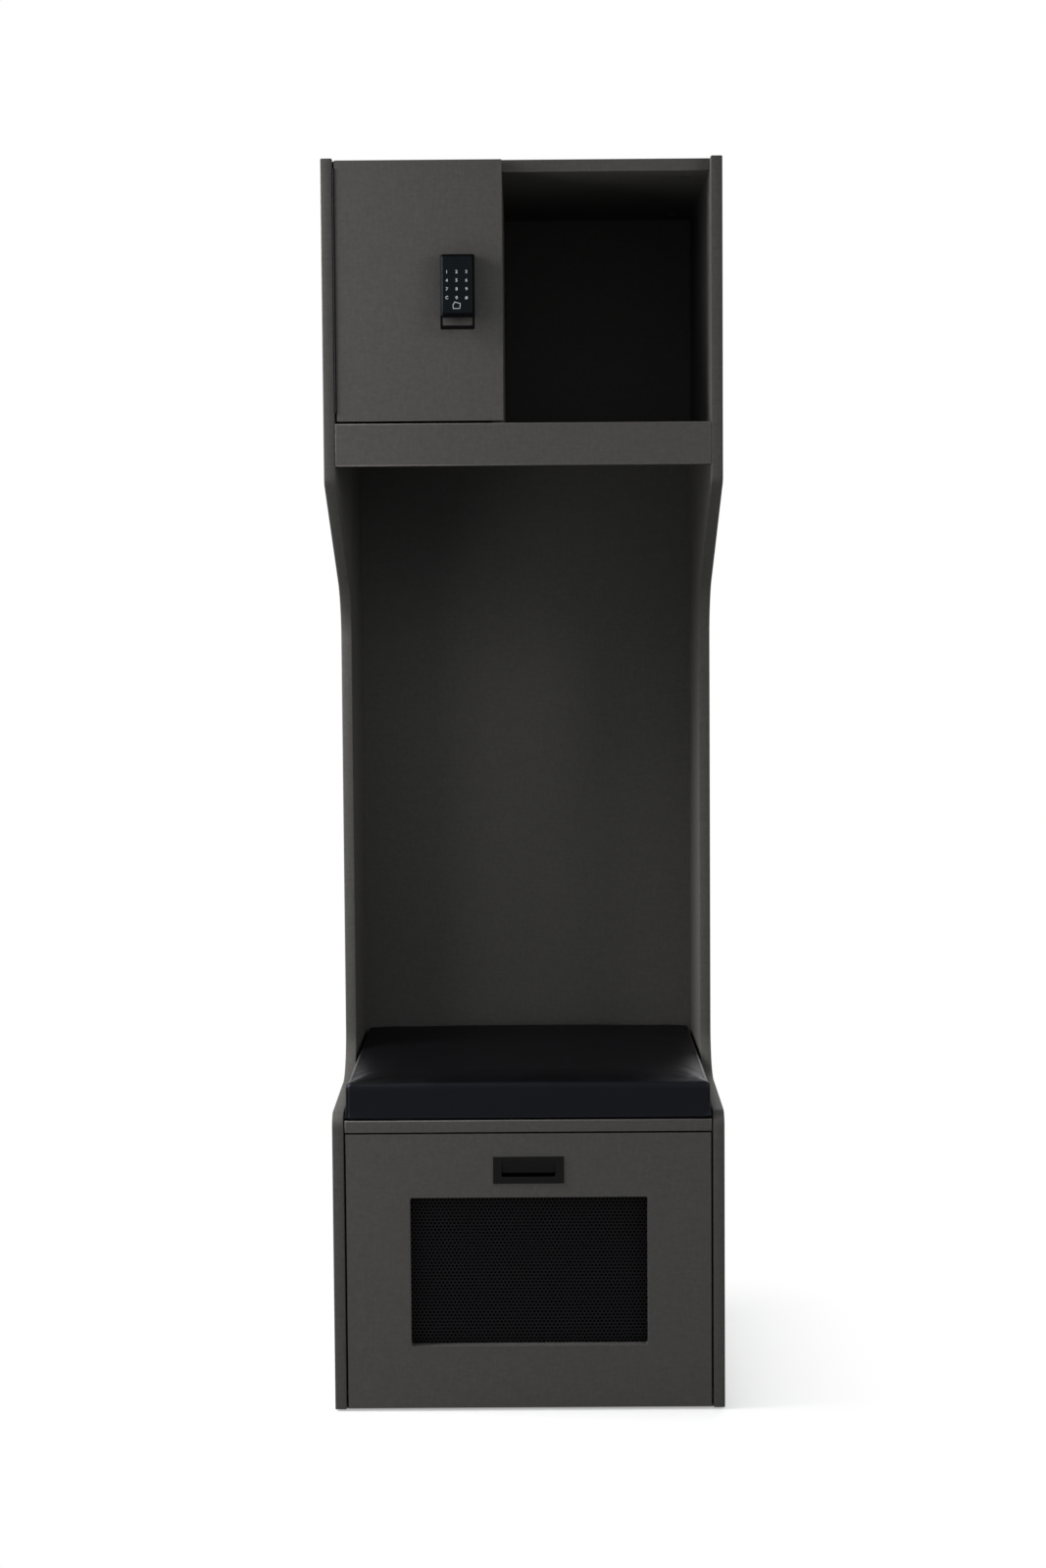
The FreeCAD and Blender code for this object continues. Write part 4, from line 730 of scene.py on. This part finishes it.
def seat_pad():
    """Seat cushion: vinyl over foam, blown up a little, with a rolled rim and a stitched seam each side."""
    low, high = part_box("seat_cushion")
    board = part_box("cushion_base")[0].z
    seam, stitch_gap = high.x - 3.5 * MM, 5.5 * MM
    foam = foam_block(low, high)
    swell(foam, low.z)
    smooth = foam.modifiers.new("smooth", "SUBSURF")
    smooth.levels = smooth.render_levels = 1
    mesh = as_shown(foam)
    bpy.data.objects.remove(foam)
    bm = bmesh.new()
    bm.from_mesh(mesh)
    bpy.data.meshes.remove(mesh)
    # The cover fills the seat again, a little fuller than its solid, and wraps the board under it
    bulge, nose, heel, crown, tuck, hem = 2.2 * MM, 1 * MM, 0.5 * MM, 6 * MM, 0.3 * MM, 2 * MM
    room = [(low.x - bulge, high.x + bulge), (low.y - nose, high.y + heel), (board + tuck, high.z + crown)]
    fill_room(bm, room)
    roll_rim(bm, room)
    draw_seams(bm, seam, board + hem)
    for face in bm.faces:
        face.smooth = True
    for side, sign in SIDES.items():
        sewn = stitches(bm, sign * (seam - stitch_gap), low, high)
        piece(f"{side}_seam_thread", sewn, "carcass", finishes=[THREAD])
    piece("seat_pad", bm, "carcass", "seat_cushion", slot="black_vinyl")


# Studio

def in_sight(tree):
    """A mask that is 1 for what the camera sees: straight, in a reflection or through something clear."""
    rays = add(tree, "ShaderNodeLightPath").outputs
    direct = add(tree, "ShaderNodeMath", {0: rays["Is Camera Ray"], 1: rays["Is Glossy Ray"]},
                 operation="MAXIMUM")
    return add(tree, "ShaderNodeMath", {0: direct, 1: rays["Is Transmission Ray"]}, operation="MAXIMUM")


def studio_floor():
    """Pale floor: its shadow fades to white beside the unit, and it throws back less light than it shows."""
    # Metres, but for the power
    half_footprint, fade_width, fade_power = (0.29, 0.262, 1.0), 0.28, 0.25
    bm = bmesh.new()
    bmesh.ops.create_circle(bm, cap_ends=True, segments=96, radius=9.0)
    mesh = bpy.data.meshes.new("studio_floor")
    bm.to_mesh(mesh)
    bm.free()
    floor = bpy.data.objects.new("studio_floor", mesh)
    scene.collection.objects.link(floor)
    material, tree, place = blank("pale studio floor")
    mesh.materials.append(material)
    seen = in_sight(tree)
    # How far a place on the floor lies outside the unit's footprint
    mirrored = add(tree, "ShaderNodeVectorMath", {0: place}, operation="ABSOLUTE")
    outside = add(tree, "ShaderNodeVectorMath", {0: mirrored, 1: half_footprint}, operation="SUBTRACT")
    outside = add(tree, "ShaderNodeVectorMath", {0: outside, 1: (0, 0, 0)}, operation="MAXIMUM")
    reach = add(tree, "ShaderNodeVectorMath", {0: outside}, operation="LENGTH").outputs["Value"]
    away = add(tree, "ShaderNodeMapRange", {"Value": reach, "From Max": fade_width})
    fade = add(tree, "ShaderNodeMath", {0: away, 1: fade_power}, operation="POWER")
    faded = add(tree, "ShaderNodeMath", {0: fade, 1: seen}, operation="MULTIPLY")
    # Inputs 6 and 7 and output 2 of a mix node are its colours
    tone = add(tree, "ShaderNodeMix", {0: seen, 6: linear("#909090"), 7: linear("#f4f4f4")}, data_type="RGBA")
    matt = add(tree, "ShaderNodeBsdfDiffuse", {"Color": tone.outputs[2]})
    white = add(tree, "ShaderNodeEmission", {"Color": linear("#ffffff"), "Strength": 1.0})
    both = add(tree, "ShaderNodeMixShader", {0: faded, 1: matt, 2: white})
    add(tree, "ShaderNodeOutputMaterial", {"Surface": both})


def surroundings():
    """White surroundings for the eye, and a dimmer, slightly cool light from all round."""
    scene.world = bpy.data.worlds.new("studio")
    scene.world.use_nodes = True
    tree = scene.world.node_tree
    tree.nodes.clear()
    fill = add(tree, "ShaderNodeBackground", {"Color": linear("#f8fbff"), "Strength": 0.4})
    white = add(tree, "ShaderNodeBackground", {"Color": linear("#ffffff"), "Strength": 1.0})
    both = add(tree, "ShaderNodeMixShader", {0: in_sight(tree), 1: fill, 2: white})
    add(tree, "ShaderNodeOutputWorld", {"Surface": both})


def softboxes():
    """Soft light: most of it from the left and the rear, less from the right."""
    # Name, degrees round from the front, degrees up, metres away, width in metres and watts
    boxes = [("left_high", -80, 40, 1.7, 0.7, 44), ("left_side", -80, 20, 1.7, 0.7, 22),
             ("left_low", -50, -10, 1.7, 0.7, 6), ("right", 50, 20, 2.4, 0.9, 13),
             ("rear", 166, 31, 3.9, 2.0, 60)]
    aim = Vector((0, -0.1, 1.0))
    for name, bearing, rise, distance, width, watts in boxes:
        light = bpy.data.lights.new(name, "AREA")
        light.shape = "SQUARE"
        light.size = width
        light.energy = watts
        turn, tilt = math.radians(bearing), math.radians(rise)
        arm = Vector((math.sin(turn) * math.cos(tilt), -math.cos(turn) * math.cos(tilt), math.sin(tilt)))
        lamp = bpy.data.objects.new(name, light)
        lamp.location = aim + arm * distance
        lamp.rotation_euler = (-arm).to_track_quat("-Z", "Y").to_euler()
        scene.collection.objects.link(lamp)


def photo_camera():
    """The photograph's camera, as fitted to the unit's edges."""
    lens, sensor = 58.64, 36
    place = (0.0146, -4.2043, 1.2397)
    # Degrees that it turns left, tips down from the level and rolls
    yaw, dip, roll = 0.273, 3.748, -0.423
    camera = bpy.data.objects.new("camera", bpy.data.cameras.new("camera"))
    camera.data.lens = lens
    camera.data.sensor_width = sensor
    turn = Matrix.Rotation(math.radians(yaw), 4, "Z") @ Matrix.Rotation(math.radians(90 - dip), 4, "X")
    tilt = Matrix.Rotation(math.radians(roll), 4, "Z")
    camera.matrix_world = Matrix.Translation(place) @ turn @ tilt
    scene.collection.objects.link(camera)
    scene.camera = camera


dress_solids()
eased_solids()
for side in SIDES:
    side_board(side)
vent_sheet()
lock_body()
lock_touch_face()
lock_loop()
key_print()
pull()
seat_pad()
studio_floor()
surroundings()
softboxes()
photo_camera()
scene.view_settings.view_transform = "Standard"
